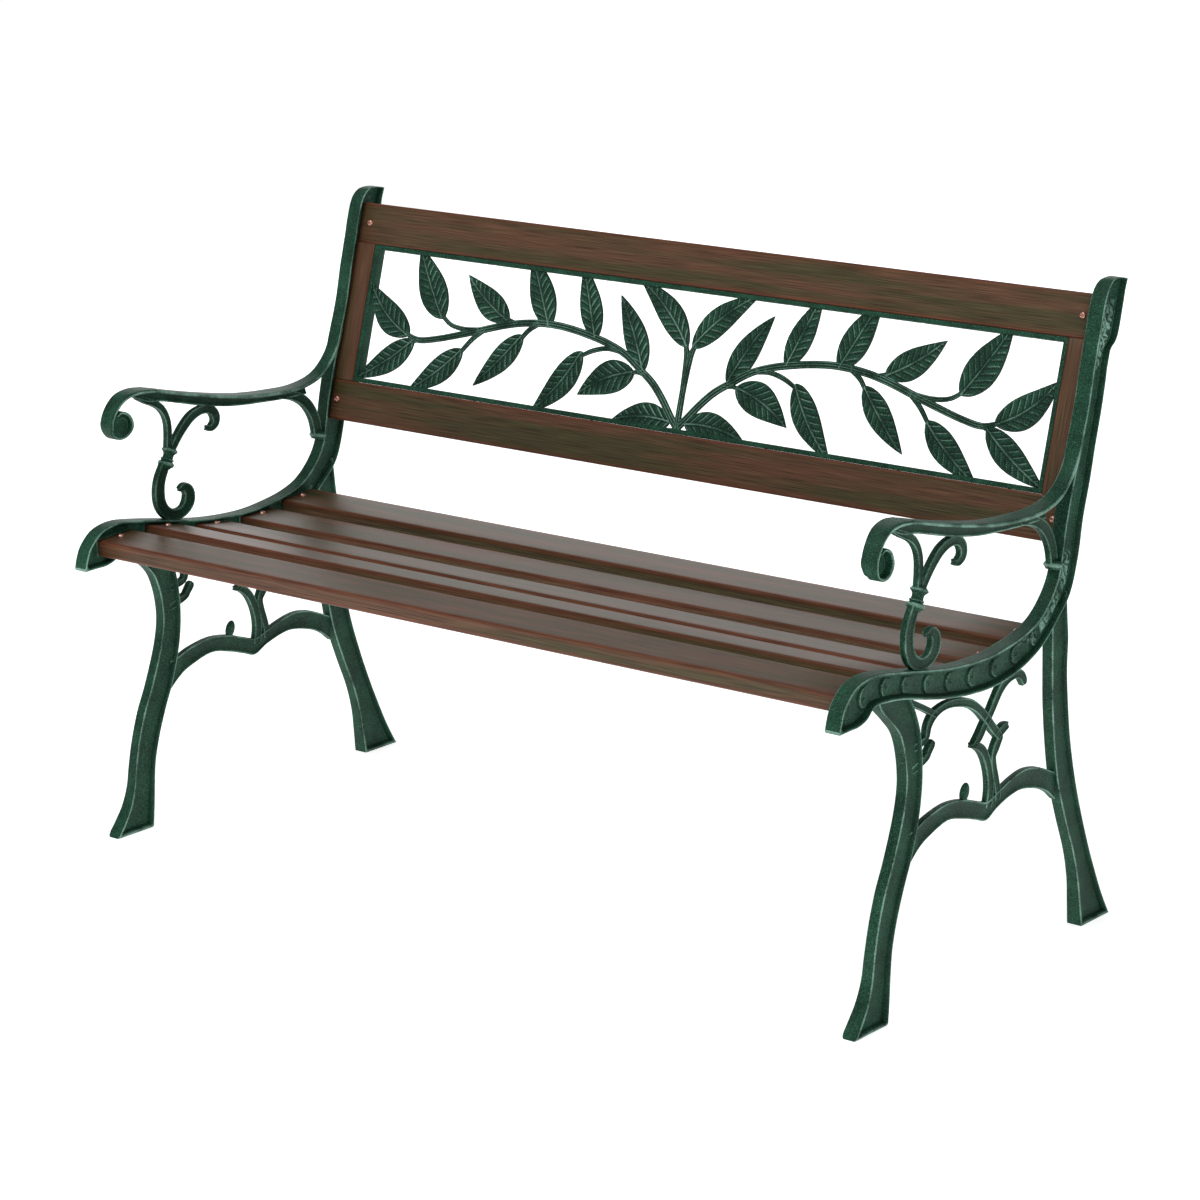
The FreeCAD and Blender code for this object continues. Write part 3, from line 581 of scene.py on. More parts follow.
# %% Cut the pockets
def cut_pockets(beam):
    """Take the timbers' pockets out of the beam's mesh object."""
    cutter = bmesh.new()
    grown = 2 * POCKET_GAP
    for index in range(len(SLATS)):
        middle, across, outward = slat_axes(index)
        block(cutter, middle, across, outward, frame_x - POCKET_REACH, timber_end + MM, SLAT_SIZE[0] + grown,
              SLAT_SIZE[1] + grown, sink=-POCKET_GAP)
    tall = (top_middle - bottom_middle).length / MM + RAIL_SIZE[0] + grown
    block(cutter, (top_middle + bottom_middle) / 2, up_the_back, out_of_back, frame_x - POCKET_REACH,
          timber_end + MM, tall, RAIL_SIZE[1] + grown, sink=-POCKET_GAP)
    bmesh.ops.recalc_face_normals(cutter, faces=cutter.faces[:])
    mesh = bpy.data.meshes.new("pocket_cutter")
    cutter.to_mesh(mesh)
    cutter.free()
    tool = bpy.data.objects.new("pocket_cutter", mesh)
    scene.collection.objects.link(tool)
    boolean = beam.modifiers.new("pockets", "BOOLEAN")
    boolean.object = tool
    boolean.solver = "EXACT"
    cut = bpy.data.meshes.new_from_object(beam.evaluated_get(bpy.context.evaluated_depsgraph_get()))
    bpy.data.objects.remove(beam)
    bpy.data.objects.remove(tool)
    return cut


def seat_rail_and_post():
    """The beam with its pockets, as a mesh."""
    shape = start_mesh()
    limb(shape, SEAT_AND_POST, closed_start=3.5, closed_end=2.8)
    bmesh.ops.recalc_face_normals(shape, faces=shape.faces[:])
    mesh = bpy.data.meshes.new("beam")
    shape.to_mesh(mesh)
    shape.free()
    beam = bpy.data.objects.new("beam", mesh)
    scene.collection.objects.link(beam)
    return cut_pockets(beam)


beam_mesh = seat_rail_and_post()
print("beam with pockets:", len(beam_mesh.polygons), "faces")

# %% [markdown]
# ## Scrolls, branches and stretcher: rimmed bars
#
# The ornament is made of bars about 8 mm thick that swell and taper. On the pattern each was carved with
# a low rim along both edges of its face, and the two rims are the lines that catch the light. A bar is a
# middle line with a half width at each point, and its ends are rounded over like the tip of a finger.

# %% Bar outlines
# each point: y, z and half the width
ARMREST = [(67, 590, 2.5), (92, 588, 2.5), (142, 576, 2.5), (202, 563, 2.5), (263, 552.3, 2.5),
           (325, 547, 2.5), (372, 547, 2.5), (410, 555.5, 2.5), (434, 573, 2.5), (448, 592, 2.5),
           (457, 615, 2.5)]
ARM_SCROLL = [(92, 588, 2.5), (67, 590, 2.5), (44, 585.5, 2.5), (28, 571.5, 2.4), (20, 553.5, 2.3),
              (25, 539, 2.2), (37, 533.5, 2.1), (48, 538, 2.0), (52, 549.5, 2.0), (47, 562.5, 1.9),
              (36, 568, 1.8), (28.5, 564.5, 1.5)]
ARM_NARROWS = (330, 430)        # between these depths the armrest narrows towards the post
POST_REACH = 10.5
SCROLL_NARROWS = (22, 78)       # and between these its inner edge draws in towards the scroll
SCROLL_WIDTH = 23
# the flange under the armrest, and the stretcher: upper edge, then lower edge
ARM_WEB = [(60, 590, 62, 583), (85, 588, 88, 573), (120, 581.5, 118, 568.5), (175, 568.5, 172, 555),
           (222, 559, 220, 545), (262, 552.3, 260, 539.5), (310, 547.6, 310, 536), (350, 546.5, 350, 534),
           (386, 549, 390, 534)]
STRETCHER = [(112, 218, 100, 170), (130, 222, 128, 192.5), (150, 228.5, 150, 203), (188, 234, 190, 212.5),
             (225, 229.5, 225, 206), (256, 219.5, 254, 197), (277, 214, 274.5, 191),
             (301, 221, 297, 200.5), (330, 229.5, 325, 208), (358, 233.5, 350, 210), (385, 229.5, 380, 204),
             (408, 221, 408, 193), (426, 213, 428, 178)]
BARS = [
    # forked arm support: front branch, back branch with its curl
    [(123.5, 505, 5.5), (124.5, 522, 5), (123.8, 538, 4.8), (119.5, 551, 4.8), (111, 562, 5), (99, 569.5, 5),
     (84, 575.5, 4.5), (70, 582, 3.6)],
    [(130, 503, 5.5), (141, 517, 6.2), (153, 529.5, 6.8), (168, 540.5, 6.8), (186, 546, 6.3), (203, 544, 6.5),
     (212, 535, 7.5), (212, 525, 7), (204, 519, 5), (197, 519.5, 3.5)],
    # scroll that the arm support stands on
    [(115.5, 483, 8), (106.5, 466, 9), (103.5, 450, 9.5), (105.5, 434, 9.5), (114.5, 421, 9),
     (129.5, 414.5, 8), (146.5, 416.5, 8.5), (157.5, 427, 10.5), (158.5, 440, 9.5), (150.5, 448, 6.5),
     (142.5, 446.5, 3.5)],
    # curved brace from the armrest down to the post
    [(338, 541, 5.5), (363, 536, 7), (383, 526.5, 8), (397, 513, 8.5), (406, 497, 8.5), (411, 478, 8.5)],
    # short strut from the seat rail, and the arch from the front leg to the knot
    [(112, 373, 4), (139, 360, 4), (163, 347, 4)],
    [(121, 318, 5), (143, 323, 4.5), (148, 336, 5.5), (157, 346, 6), (172, 351.5, 5), (190, 353, 5),
     (213, 350, 5.5), (236, 343, 6), (254, 332, 6), (270, 318, 6.3), (285, 303, 6.3), (300, 289, 5.5)],
    # thorn behind the knot
    [(297, 290, 6), (309, 296, 6.5), (318, 298, 4.5)],
    # the two uprights of the knot
    [(242, 290.5, 3.2), (250, 289, 4.5), (262, 282, 6), (271, 271, 6.5), (278, 256, 6.5), (282, 240, 6.5),
     (283, 225, 7), (280, 208, 7)],
    [(302, 288, 6.5), (294, 277, 7), (288, 266, 5.5), (290, 251, 6), (295, 236, 6), (299, 221, 6),
     (299, 212, 6)],
    # stem that crosses the arch and ends in a hook under the seat rail
    [(247, 291, 4), (257, 298, 6), (267, 309, 6), (280, 322, 6), (290, 334, 6.3), (301, 346, 6.5),
     (314, 353.5, 6), (330, 356.5, 5.5), (344, 354, 6), (351, 346, 6), (352.5, 341, 4.5)],
    # bud on the front leg
    [(118, 292, 5), (144, 300, 5), (150, 306, 5), (156, 313, 5.5), (158, 315.5, 4)],
]
BAR_HALF = 4.2
print(len(BARS), "ornament bars,", 2 * BAR_HALF, "mm thick")

# %% Bar sections
# a bar with raised edges, from one edge over the face to the other: shares of the half width and thickness
# the third value pales the rims as rubbing and painted highlight, the fourth paints shade on the face between
# the rims
RIMMED = [(-1.0, 0.0, 0.1, 0), (-0.98, 0.6, 0.3, 0), (-0.9, 0.9, 0.75, 0), (-0.76, 1.0, 0.7, 0),
          (-0.6, 0.93, 0.2, 0), (-0.45, 0.78, 0, 0.6), (-0.2, 0.76, 0, 0.35), (0.2, 0.76, 0, 0.35),
          (0.45, 0.78, 0, 0.6), (0.6, 0.93, 0.2, 0), (0.76, 1.0, 0.7, 0), (0.9, 0.9, 0.75, 0),
          (0.98, 0.6, 0.3, 0), (1.0, 0.0, 0.1, 0)]


END_REACH = 0.7                     # a rounded end's length, as a share of the bar's half width
END_DEGREES = (30, 55, 75, 87)


def rounded_ends(line):
    """Add shrinking places at both ends of a line of (y, z, half width), so that its ends are round."""
    caps = []
    for last, before in ((line[0], line[1]), (line[-1], line[-2])):
        along = Vector((last[0] - before[0], last[1] - before[1])).normalized()
        cap = []
        for degrees in END_DEGREES:
            angle = math.radians(degrees)
            shift = along * (last[2] * END_REACH * math.sin(angle))
            cap.append((last[0] + shift.x, last[1] + shift.y, last[2], math.cos(angle)))
        caps.append(cap)
    return list(reversed(caps[0])) + [(p[0], p[1], p[2], 1.0) for p in line] + caps[1]


def bar(shape, points):
    """Sweep a rimmed bar that lies in the end's middle plane."""
    places = rounded_ends(through(points, 4))
    rows = []
    for i, (y, z, half, shrink) in enumerate(places):
        before, after = places[max(i - 1, 0)], places[min(i + 1, len(places) - 1)]
        across = Vector((before[1] - after[1], after[0] - before[0])).normalized() * half * shrink
        face = [(y + across.x * a, z + across.y * a, x * BAR_HALF * shrink, w, h) for a, x, w, h in RIMMED]
        back_face = [(p[0], p[1], -p[2], p[3], p[4]) for p in reversed(face[1:-1])]
        rows.append([(side(p[0], p[1], p[2]), p[3], p[4]) for p in face + back_face])
    sweep(shape, rows)


print("bar section:", len(RIMMED), "points on each face")

# %% [markdown]
# ## Armrest strip and stretcher plate
#
# The armrest is a strip rather than a bar, because a forearm lies on it: wide and nearly flat, softly
# crowned, and paler along its crown's edge, as rubbing and painted highlight, with painted shade under
# that edge. It narrows towards the post and its inner edge draws in round the scroll, so its width is
# worked out at every place along it. The stretcher and the flange under the armrest are plates between
# two edges, with the same mirrored section as a limb, and their rims are paler as rubbing and painted
# highlight, with painted shade just inside them.


# %% Armrest strip and plates
def strip(shape, points):
    """Sweep the armrest's flat strip: wide along X, thin across the line, with a soft crown."""
    line = through(points, 5)
    rows = []
    for i, (y, z, half) in enumerate(line):
        before, after = line[max(i - 1, 0)], line[min(i + 1, len(line) - 1)]
        across = Vector((before[1] - after[1], after[0] - before[0])).normalized() * half
        inner, outer = arm_edges(y, z)
        loop = []
        for sign, wide in ((1, outer), (-1, inner)):
            # the third value pales the crown's edge as rubbing and painted highlight; the fourth paints shade
            # under the edge
            edge = [(1.0, 0.0, 0, 0), (0.98, wide * 0.6, 0, 0), (0.9, wide - 3.0, 0.2, 0),
                    (0.66, wide - 1.1, 0.8, 0), (0.2, wide - 0.1, 1.0, 0), (-0.3, wide, 0.9, 0),
                    (-0.75, wide - 0.7, 0.3, 0), (-1.0, wide - 1.8, 0, 0.3), (-1.0, wide * 0.5, 0, 0)]
            edge = edge if sign == 1 else list(reversed(edge[1:]))
            loop += [(a, sign * x, w, h) for a, x, w, h in edge]
        rows.append([(side(y + across.x * a, z + across.y * a, x), w, h) for a, x, w, h in loop])
    sweep(shape, rows)


def plate(shape, stations, half_thickness, rim):
    """Sweep a flat plate between two edges, with a low rim along each."""
    # the rim is paler as rubbing and painted highlight, with painted shade just inside it
    face = [(0, half_thickness - 1.2, 0.3, 0), (0.5, half_thickness - 0.2, 0.9, 0),
            (1.6, half_thickness, 0.7, 0), (2.8, half_thickness - rim * 0.4, 0.1, 0.2),
            (3.8, half_thickness - rim, 0, 0.4)]
    sweep(shape, [both_faces(Vector(p[0:2]), Vector(p[2:4]), face) for p in through(stations, 4)])


def arm_edges(y, z):
    """How far the armrest reaches inwards and outwards: full width, less at the post and at the scroll."""
    start, end = ARM_NARROWS
    share = min(max((y - start) / (end - start), 0), 1)
    reach = ARM_WIDTH / 2 - (ARM_WIDTH / 2 - POST_REACH) * share
    slim, full = SCROLL_NARROWS
    taper = min(max((full - y) / (full - slim), 0), 1)
    round_under = 7 * ease((556 - z) / 20) ** 2 * taper
    return reach - (ARM_WIDTH - SCROLL_WIDTH) * taper - round_under, reach - 0.25 * round_under


print("armrest half widths at mid length:", arm_edges(202, 563), "mm")

# %% [markdown]
# ## Collar, scroll disc and knob: turned details
#
# Where the arm support meets its scroll, the pattern has a turned collar: a flared rim, a waist and a
# bead. A smaller knob sits where the brace meets the post, and the scroll's middle is a shallow dish with
# a raised line. All three are profiles spun about an axis, which gives them rims as crisp as a lathe
# leaves.

# %% Turned details
COLLAR_LINE = ((129.0, 505.0), (116.8, 478.5))
# the third value of each profile point pales it as rubbing and painted highlight
COLLAR_PROFILE = [(0, 1.5, 0), (6.5, 1.0, 0.2), (8.5, -1.2, 0.5), (10.8, -3.4, 1.0), (10.9, -5.0, 0.8),
                  (8.8, -6.8, 0.1), (7.2, -9.2, 0), (6.9, -12.5, 0), (7.4, -15.0, 0), (8.9, -15.8, 0.6),
                  (9.0, -17.0, 0.6), (7.7, -18.0, 0), (8.6, -19.2, 0.2), (10.6, -20.6, 0.9),
                  (11.0, -22.6, 0.9), (10.3, -24.6, 0.5), (8.0, -26.2, 0), (6.5, -28.4, 0), (0, -29, 0)]
KNOB_PROFILE = [(0, 6, 0), (8.2, 5.4, 0.1), (9.6, 3.6, 0.3), (11.6, 1.2, 0.9), (11.8, -0.8, 0.9),
                (9.8, -3.0, 0.3), (8.4, -5.2, 0.1), (0, -6, 0)]
DISH_PROFILE = [(0, 7.0, 0), (5, 7.2, 0), (9.4, 6.6, 0), (10.4, 7.3, 0.6), (11.4, 6.6, 0), (15.6, 5.8, 0),
                (15.6, -5.8, 0), (11.4, -6.6, 0), (10.4, -7.3, 0.6), (9.4, -6.6, 0), (5, -7.2, 0),
                (0, -7.0, 0)]


def collar(shape):
    """The turned collar of the arm support, and the small knob on the post."""
    top, bottom = (side(*p) for p in COLLAR_LINE)
    turned(shape, top, top - bottom, COLLAR_PROFILE)
    knob = side(414, 472.5)
    turned(shape, knob, side(415.5, 482) - knob, KNOB_PROFILE)


def bud(shape, y, z, reach, lean):
    """A small flattened bud, leaning in the side view."""
    made = bmesh.ops.create_uvsphere(shape, u_segments=20, v_segments=12, radius=MM)["verts"]
    size = Matrix.Diagonal((BAR_HALF + 0.6, reach[0], reach[1], 1))
    turn = Matrix.Rotation(math.radians(lean), 4, "X")
    bmesh.ops.transform(shape, matrix=Matrix.Translation(side(y, z)) @ turn @ size, verts=made)


print("collar", 2 * max(p[0] for p in COLLAR_PROFILE), "mm across")

# %% [markdown]
# ## Coins and foliage: relief cast into the web
#
# Along the outer face of the seat rail runs a row of overlapping coins, each with a raised lip at its
# front and a dot near its middle, and sinking into the web behind. Round the bend and at the top of the
# post they give way to curled foliage. Such a low relief is all about small heights, so it is made as a
# plate of many small faces that lies on the web between the rims: one function says how high each of its
# points stands, how pale it is painted, as rubbing and highlight, and how much painted shade it carries:
# painted highlight on the coins' lips and the foliage's curls, and a painted shadow line under each lip.
# The heights come from smooth bumps and from a noise that gives the same values each time.

# %% Places of the coins
# each coin's front: y and z as drawn
COINS = [(2, 399), (47, 406), (88, 400), (131, 391.5), (177, 383.5), (224, 378.5), (272, 377), (318, 382),
         (358, 395)]
COIN_RADIUS = 12.0
COIN_HEIGHT = 2.3
COIN_FADE = 30.0        # the coin has sunk into the web this far behind its front
RELIEF_INSET = 5.4      # the plate starts this far from the web's edges
RELIEF_COLUMNS = 24
RELIEF_STEPS = 26
RELIEF_TOP, RELIEF_NOSE = 794, -25
POST_FOLIAGE = (690, 784)               # the foliage starts and ends at these heights on the post
BEND_START, BEND_FOLIAGE = 325, (383, 500)      # and behind this depth, between these, round the bend


def run_at(y, z):
    """The distance along the seat rail's middle line to the place nearest to y, z."""
    best, run, found = 1e9, 0.0, 0.0
    last = None
    for p in through(SEAT_AND_POST, 8):
        middle = Vector(((p[0] + p[2]) / 2, (p[1] + p[3]) / 2))
        run += (middle - last).length if last else 0.0
        last = middle
        gap = (middle - Vector((y, z))).length
        if gap < best:
            best, found = gap, run
    return found


coin_runs = [run_at(y, z) for y, z in COINS]
print("coins along the seat rail at", [round(run) for run in coin_runs], "mm")


# %% Height of the relief
def cast_relief(run, across, y, z, room):
    """Height in mm of the web's cast decoration, with its rubbing and painted highlight and its painted
    shade. across is mm from the web's middle.
    """
    place = Vector((y, z, 0))
    skin = noise.noise(place * 0.22) * 0.45 + noise.noise(place * 0.6) * 0.3
    # the skin's bumps are paler and its dips darker: painted highlight and painted shade
    height, wear, hollow = skin, max(0, skin) * 0.5, max(0, -skin) * 0.7
    for front in coin_runs:
        behind = run - front
        if -4 < behind < 36:
            inside = COIN_RADIUS - math.hypot(behind - COIN_RADIUS, across)
            if behind > COIN_RADIUS:
                inside = COIN_RADIUS - abs(across)
            lip = ease(inside / 1.3 + 0.5)
            fall = 1 - ease(behind / COIN_FADE)
            height += COIN_HEIGHT * lip * fall - 0.7 * math.exp(-((inside + 1.4) / 1.1) ** 2)
            # painted highlight along the lip's crest, and below, a painted shadow line just outside the lip
            wear = max(wear, 0.85 * math.exp(-((inside - 1.6) / 1.2) ** 2) * fall)
            hollow = max(hollow, math.exp(-((inside + 1.3) / 1.1) ** 2))
            pip = math.hypot(behind - 9.0, across + 0.5)
            height += 0.9 * math.exp(-((pip - 2.4) / 0.9) ** 2) - 1.1 * math.exp(-(pip / 1.2) ** 2)
            # painted shade in the dot's dimple
            hollow = max(hollow, math.exp(-(pip / 1.3) ** 2))
    leafy = ease((z - POST_FOLIAGE[0]) / 14) * ease((POST_FOLIAGE[1] - z) / 14)
    if y > BEND_START:
        leafy += 0.8 * ease((z - BEND_FOLIAGE[0]) / 12) * ease((BEND_FOLIAGE[1] - z) / 20)
    if leafy > 0:
        leafy *= ease((room * 0.35 - across) / 4)
        curl = abs(math.sin(place.y * 0.3 + 2.6 * noise.noise(place * 0.13) + across * 0.35))
        height += leafy * (2.3 * curl - 0.5 + 0.9 * noise.noise(place * 0.5))
        # painted highlight on the foliage's curls and painted shade between them
        wear = max(wear, leafy * (0.25 + 0.75 * curl))
        hollow = max(hollow, leafy * (0.8 - 1.6 * curl))
    # a raised line up the post, paled as rubbing and painted highlight
    ridge = math.exp(-((across - room * 0.42) / 0.9) ** 2) * ease((z - 470) / 60) * ease((788 - z) / 12)
    return height + 0.9 * ridge, max(wear, 0.6 * ridge), hollow


print("relief 40 mm behind the first coin stands",
      round(cast_relief(coin_runs[0] + 40, 0, 40, 404, 20)[0], 2), "mm above the web")


# %% Relief plate
def web_relief(shape):
    """A finely divided plate that lies on the web between its rims and carries the cast decoration."""
    line = through(SEAT_AND_POST, RELIEF_STEPS)
    rows, run = [], 0.0
    middle = Vector(((line[0][0] + line[0][2]) / 2, (line[0][1] + line[0][3]) / 2))
    for p in line:
        near, far = Vector(p[0:2]), Vector(p[2:4])
        run += ((near + far) / 2 - middle).length
        middle = (near + far) / 2
        depth = (far - near).length
        if depth < 20 or middle.y > RELIEF_TOP or middle.x < RELIEF_NOSE:
            continue
        across_way = (far - near) / depth
        room = depth - 2 * RELIEF_INSET
        row = []
        for k in range(RELIEF_COLUMNS + 1):
            share = k / RELIEF_COLUMNS
            spot = near + across_way * (RELIEF_INSET + room * share)
            height, wear, hollow = cast_relief(run, room * (share - 0.5), spot.x, spot.y, room)
            border = ease(share * 9) * ease((1 - share) * 9)
            row.append((side(spot.x, spot.y, WEB_HALF + 0.5 + height * border), wear * border,
                        hollow * border))
        for share in (0.98, 0.02):
            spot = near + across_way * (RELIEF_INSET + room * share)
            row.append((side(spot.x, spot.y, WEB_HALF - 0.8), 0, 0))
        rows.append(row)
    sweep(shape, rows)


print("relief plate:", RELIEF_COLUMNS + 1, "points across")

# %% [markdown]
# ## The two ends
#
# Everything above goes into one mesh: the beam with its pockets, the legs, the strip of the armrest and
# its scroll, the bars, the stretcher, the turned details, and the ears that the timbers are bolted to.
# The pieces run into each other as they do in one casting. The left end is the same mesh mirrored.

# %% Ears and assembly
LUG = {"wide": 26.0, "thick": 5.0, "reach": 11.0}
WASHER_RADIUS = 5.0
TOP_BOLT_IN = 7.0       # the top rail's bolts sit this much further in

bolt_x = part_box("seat_washers")[1].x - WASHER_RADIUS * MM


def bolt_places():
    """Every bolt's place on its timber, its direction outwards, and the timber's thickness."""
    seat = []
    for index in range(len(SLATS)):
        middle, across, outward = slat_axes(index)
        seat.append((middle, outward, bolt_x, SLAT_SIZE[1]))
    rails = [(bottom_middle, out_of_back, bolt_x, RAIL_SIZE[1]),
             (top_middle, out_of_back, bolt_x - TOP_BOLT_IN * MM, RAIL_SIZE[1])]
    return seat, rails


def ears(shape):
    """The ears of the casting, behind each timber's bolt."""
    seat, rails = bolt_places()
    for middle, outward, x, thickness in seat + rails:
        across = Vector((0, outward.z, -outward.y))
        block(shape, middle, across, outward, x - LUG["reach"] * MM, frame_x, LUG["wide"], LUG["thick"],
              ease_mm=1.2, sink=thickness)


def right_end():
    """The whole right-hand casting as one mesh."""
    shape = start_mesh()
    shape.from_mesh(beam_mesh)
    limb(shape, FRONT_LEG, closed_end=5.0)
    limb(shape, BACK_LEG, closed_end=5.0)
    strip(shape, ARMREST)
    strip(shape, ARM_SCROLL)
    plate(shape, ARM_WEB, 3.6, 0.8)
    plate(shape, STRETCHER, BAR_HALF, 1.1)
    for points in BARS:
        bar(shape, points)
    turned(shape, side(35.5, 550.5), ALONG, DISH_PROFILE)
    collar(shape)
    web_relief(shape)
    bud(shape, 231, 236, (7.5, 12), -20)
    ears(shape)
    return shape


right_shape = right_end()
left_shape = right_shape.copy()
finish_piece(right_shape, "end_casting_right", paint, "green_paint", "end_frame_right")
bmesh.ops.scale(left_shape, vec=(-1, 1, 1), verts=left_shape.verts[:])
finish_piece(left_shape, "end_casting_left", paint, "green_paint", "end_frame_left")

# %% [markdown]
# ## The leaf panel
#
# The panel is one thin casting: a border strip, two arching stems and thirteen leaves on each side. A
# leaf is swept like a limb, from its base to its tip, but its section is a low dome with a raised midrib
# and a raised rim, and side veins run from the midrib towards the tip. Between two veins the blade is a
# tilted facet, which is what makes each leaf read as light and dark strokes, and the strokes are painted
# as well: painted highlight on the midrib, veins and rim, and painted shade in the valleys. A painted
# shade line runs round the cut edge of a leaf, and the backs of leaves and stems carry a little painted
# shade too.

# %% Panel places
PANEL_BORDER = 6.3
PANEL_GAP = 0.2
PANEL_SETBACK, PANEL_DEPTH = 1.0, 16.0
LEAF_FRONT, LEAF_BACK = 2.4, 8.0

panel_foot = bottom_middle + up_the_back * ((RAIL_SIZE[0] / 2 + PANEL_GAP) * MM)
panel_half = stile_inner - PANEL_GAP * MM
panel_height = (top_middle - bottom_middle).length - (RAIL_SIZE[0] + 2 * PANEL_GAP) * MM


def on_panel(x, upward, depth=0.0):
    """A point of the panel: mm from its middle, mm above its foot, mm behind the front of the rails."""
    return panel_foot + ALONG * (x * MM) + up_the_back * (upward * MM) - out_of_back * (depth * MM)


def inside_border(x, upward):
    """Keep a point within the middle line of the border strip."""
    wide = panel_half / MM - PANEL_BORDER / 2
    return max(-wide, min(wide, x)), max(PANEL_BORDER / 2, min(panel_height / MM - PANEL_BORDER / 2, upward))


print("panel", round(2 * panel_half / MM), "x", round(panel_height / MM, 1), "mm")

# %% Leaves and stems, one half
# base and tip: mm from the middle and mm above the foot; the width; the midrib's bow to the left of base-tip
LEAVES = [
    (468, 73, 546, 136, 39, -8), (457, 68, 549, 5, 34, -4), (413, 102, 470, 193, 43, -2),
    (301, 112, 380, 165, 36, -4), (371, 65, 454, -1, 34, -4), (273, 96, 343, 20, 32, -2),
    (231, 112, 278, 205, 38, 0), (152, 105, 190, 200, 33, 0), (67, 73, 122, 166, 34, 3),
    (171, 86, 239, -2, 36, -6), (82, 70, 167, 30, 42, 6), (12, 14, 106, 4, 36, 6), (4, 112, 95, 190, 34, 7),
]
LEAF_SHAPE = [(0, 0.08), (0.04, 0.36), (0.1, 0.62), (0.2, 0.88), (0.34, 1.04), (0.52, 0.97), (0.72, 0.66),
              (0.88, 0.32), (1.0, 0.02)]
STEMS = [
    [(-4, 3, 5), (12, 20, 5.3), (30, 41, 5.3), (50, 60, 5.3), (75, 76, 5), (100, 91, 5), (130, 101.5, 5),
     (165, 109, 5), (200, 114, 5), (232, 115.5, 5), (270, 112.5, 5), (305, 105.5, 5), (345, 94, 5),
     (385, 82.5, 4.7), (420, 73.5, 4.5), (450, 69, 4.3), (474, 76, 3)],
    [(340, 95, 4), (372, 92.5, 3.5), (398, 96, 3.2), (417, 108, 2.7)],
    [(338, 97, 4), (357, 81, 3.4), (374, 61, 2.7)],
    [(248, 115, 4), (264, 104, 3.4), (275, 91, 2.7)],
    [(108, 94, 4), (130, 95, 3.5), (152, 90, 3.5), (173, 80, 2.7)],
    [(60, 68, 4), (75, 70.5, 3.2), (90, 68, 2.7)],
    [(446, 70, 3.5), (464, 64, 2.7)],
    [(285, 109, 3.5), (308, 116, 2.7)],
    [(0, 3, 4.7), (0, 50, 4.3), (1.5, 85, 4.3), (4, 105, 3.8), (9, 118, 2.7)],
]
VEIN_SPACING = 11.0
LEAF_COLUMNS = 30
print(2 * len(LEAVES), "leaves and", 2 * len(STEMS), "stems")

# %% Height of a leaf's blade
def leaf_relief(v, half, run, length):
    """Height of the blade in mm above its rim plane, with its rubbing and painted highlight and its painted
    shade; v is -1 to 1 across the leaf.
    """
    side_share = abs(v)
    dome = 1 - side_share ** 2
    midrib = math.exp(-(v * half / 1.2) ** 2) * (1 - 0.4 * run / length)
    curve = side_share * half * (1.15 - 0.25 * side_share)
    phase = (run - curve + 4 * (v > 0)) / VEIN_SPACING
    between = phase - math.floor(phase)
    crest = math.exp(-(between / 0.13) ** 2) + math.exp(-((1 - between) / 0.09) ** 2)
    swell = math.sin(math.pi * min(1, between * 1.02)) ** 0.7
    fade = ease((side_share - 0.04) / 0.16) * (1 - 0.7 * ease((side_share - 0.78) / 0.2))
    rim = ease((side_share - 0.88) / 0.08)
    groove = math.exp(-((side_share * half - 2.6) / 0.9) ** 2)
    blade = fade * (0.5 * swell + 0.9 * crest - 1.0 * between)
    height = dome + 1.2 * midrib + blade + 0.5 * rim - 0.5 * groove
    # painted highlight on the midrib, the vein crests and the rim; painted shade in the valleys and the
    # groove inside the rim
    wear = max(midrib, crest * fade, 0.5 * rim)
    hollow = max(fade * ease((between - 0.5) / 0.35) * (1 - min(1, crest)), 0.8 * groove * (1 - rim))
    return height, wear, min(hollow, 1)


print("midrib stands", round(leaf_relief(0, 15, 40, 90)[0], 1), "mm above a leaf's rim plane")


# %% Sweep leaves and stems
def leaf(shape, base_x, base_up, tip_x, tip_up, width, bow, mirror):
    """Sweep one leaf from its base to its tip, domed in front and flat behind."""
    base, tip = Vector((base_x, base_up)), Vector((tip_x, tip_up))
    axis = tip - base
    length = axis.length
    left = Vector((-axis.y, axis.x)) / length
    rows = []
    for t, share in through(LEAF_SHAPE, 12):
        half = share * width / 2
        middle = base + axis * t + left * (bow * 4 * t * (1 - t))
        row = []
        for k in range(LEAF_COLUMNS + 1):
            v = 2 * k / LEAF_COLUMNS - 1
            v = math.copysign(abs(v) ** 0.85, v)
            height, wear, hollow = leaf_relief(v, half, t * length, length)
            depth = LEAF_FRONT + 1.9 - height * min(1, half / 5)
            spot = inside_border(*(middle + left * (half * v)))
            # painted shade: a dark line along the leaf's cut edge, with no paleness left there
            edge = ease((abs(v) - 0.94) / 0.05)
            row.append((on_panel(mirror * spot[0], spot[1], depth), wear * (1 - edge), max(hollow, edge)))
        # the flat back carries a little painted shade
        for v in (1.0, 0.5, -0.5, -1.0):
            spot = inside_border(*(middle + left * (half * v)))
            depth = LEAF_BACK - 1.2 * abs(v)
            row.append((on_panel(mirror * spot[0], spot[1], depth), 0, 0.2))
        rows.append(row)
    sweep(shape, rows)


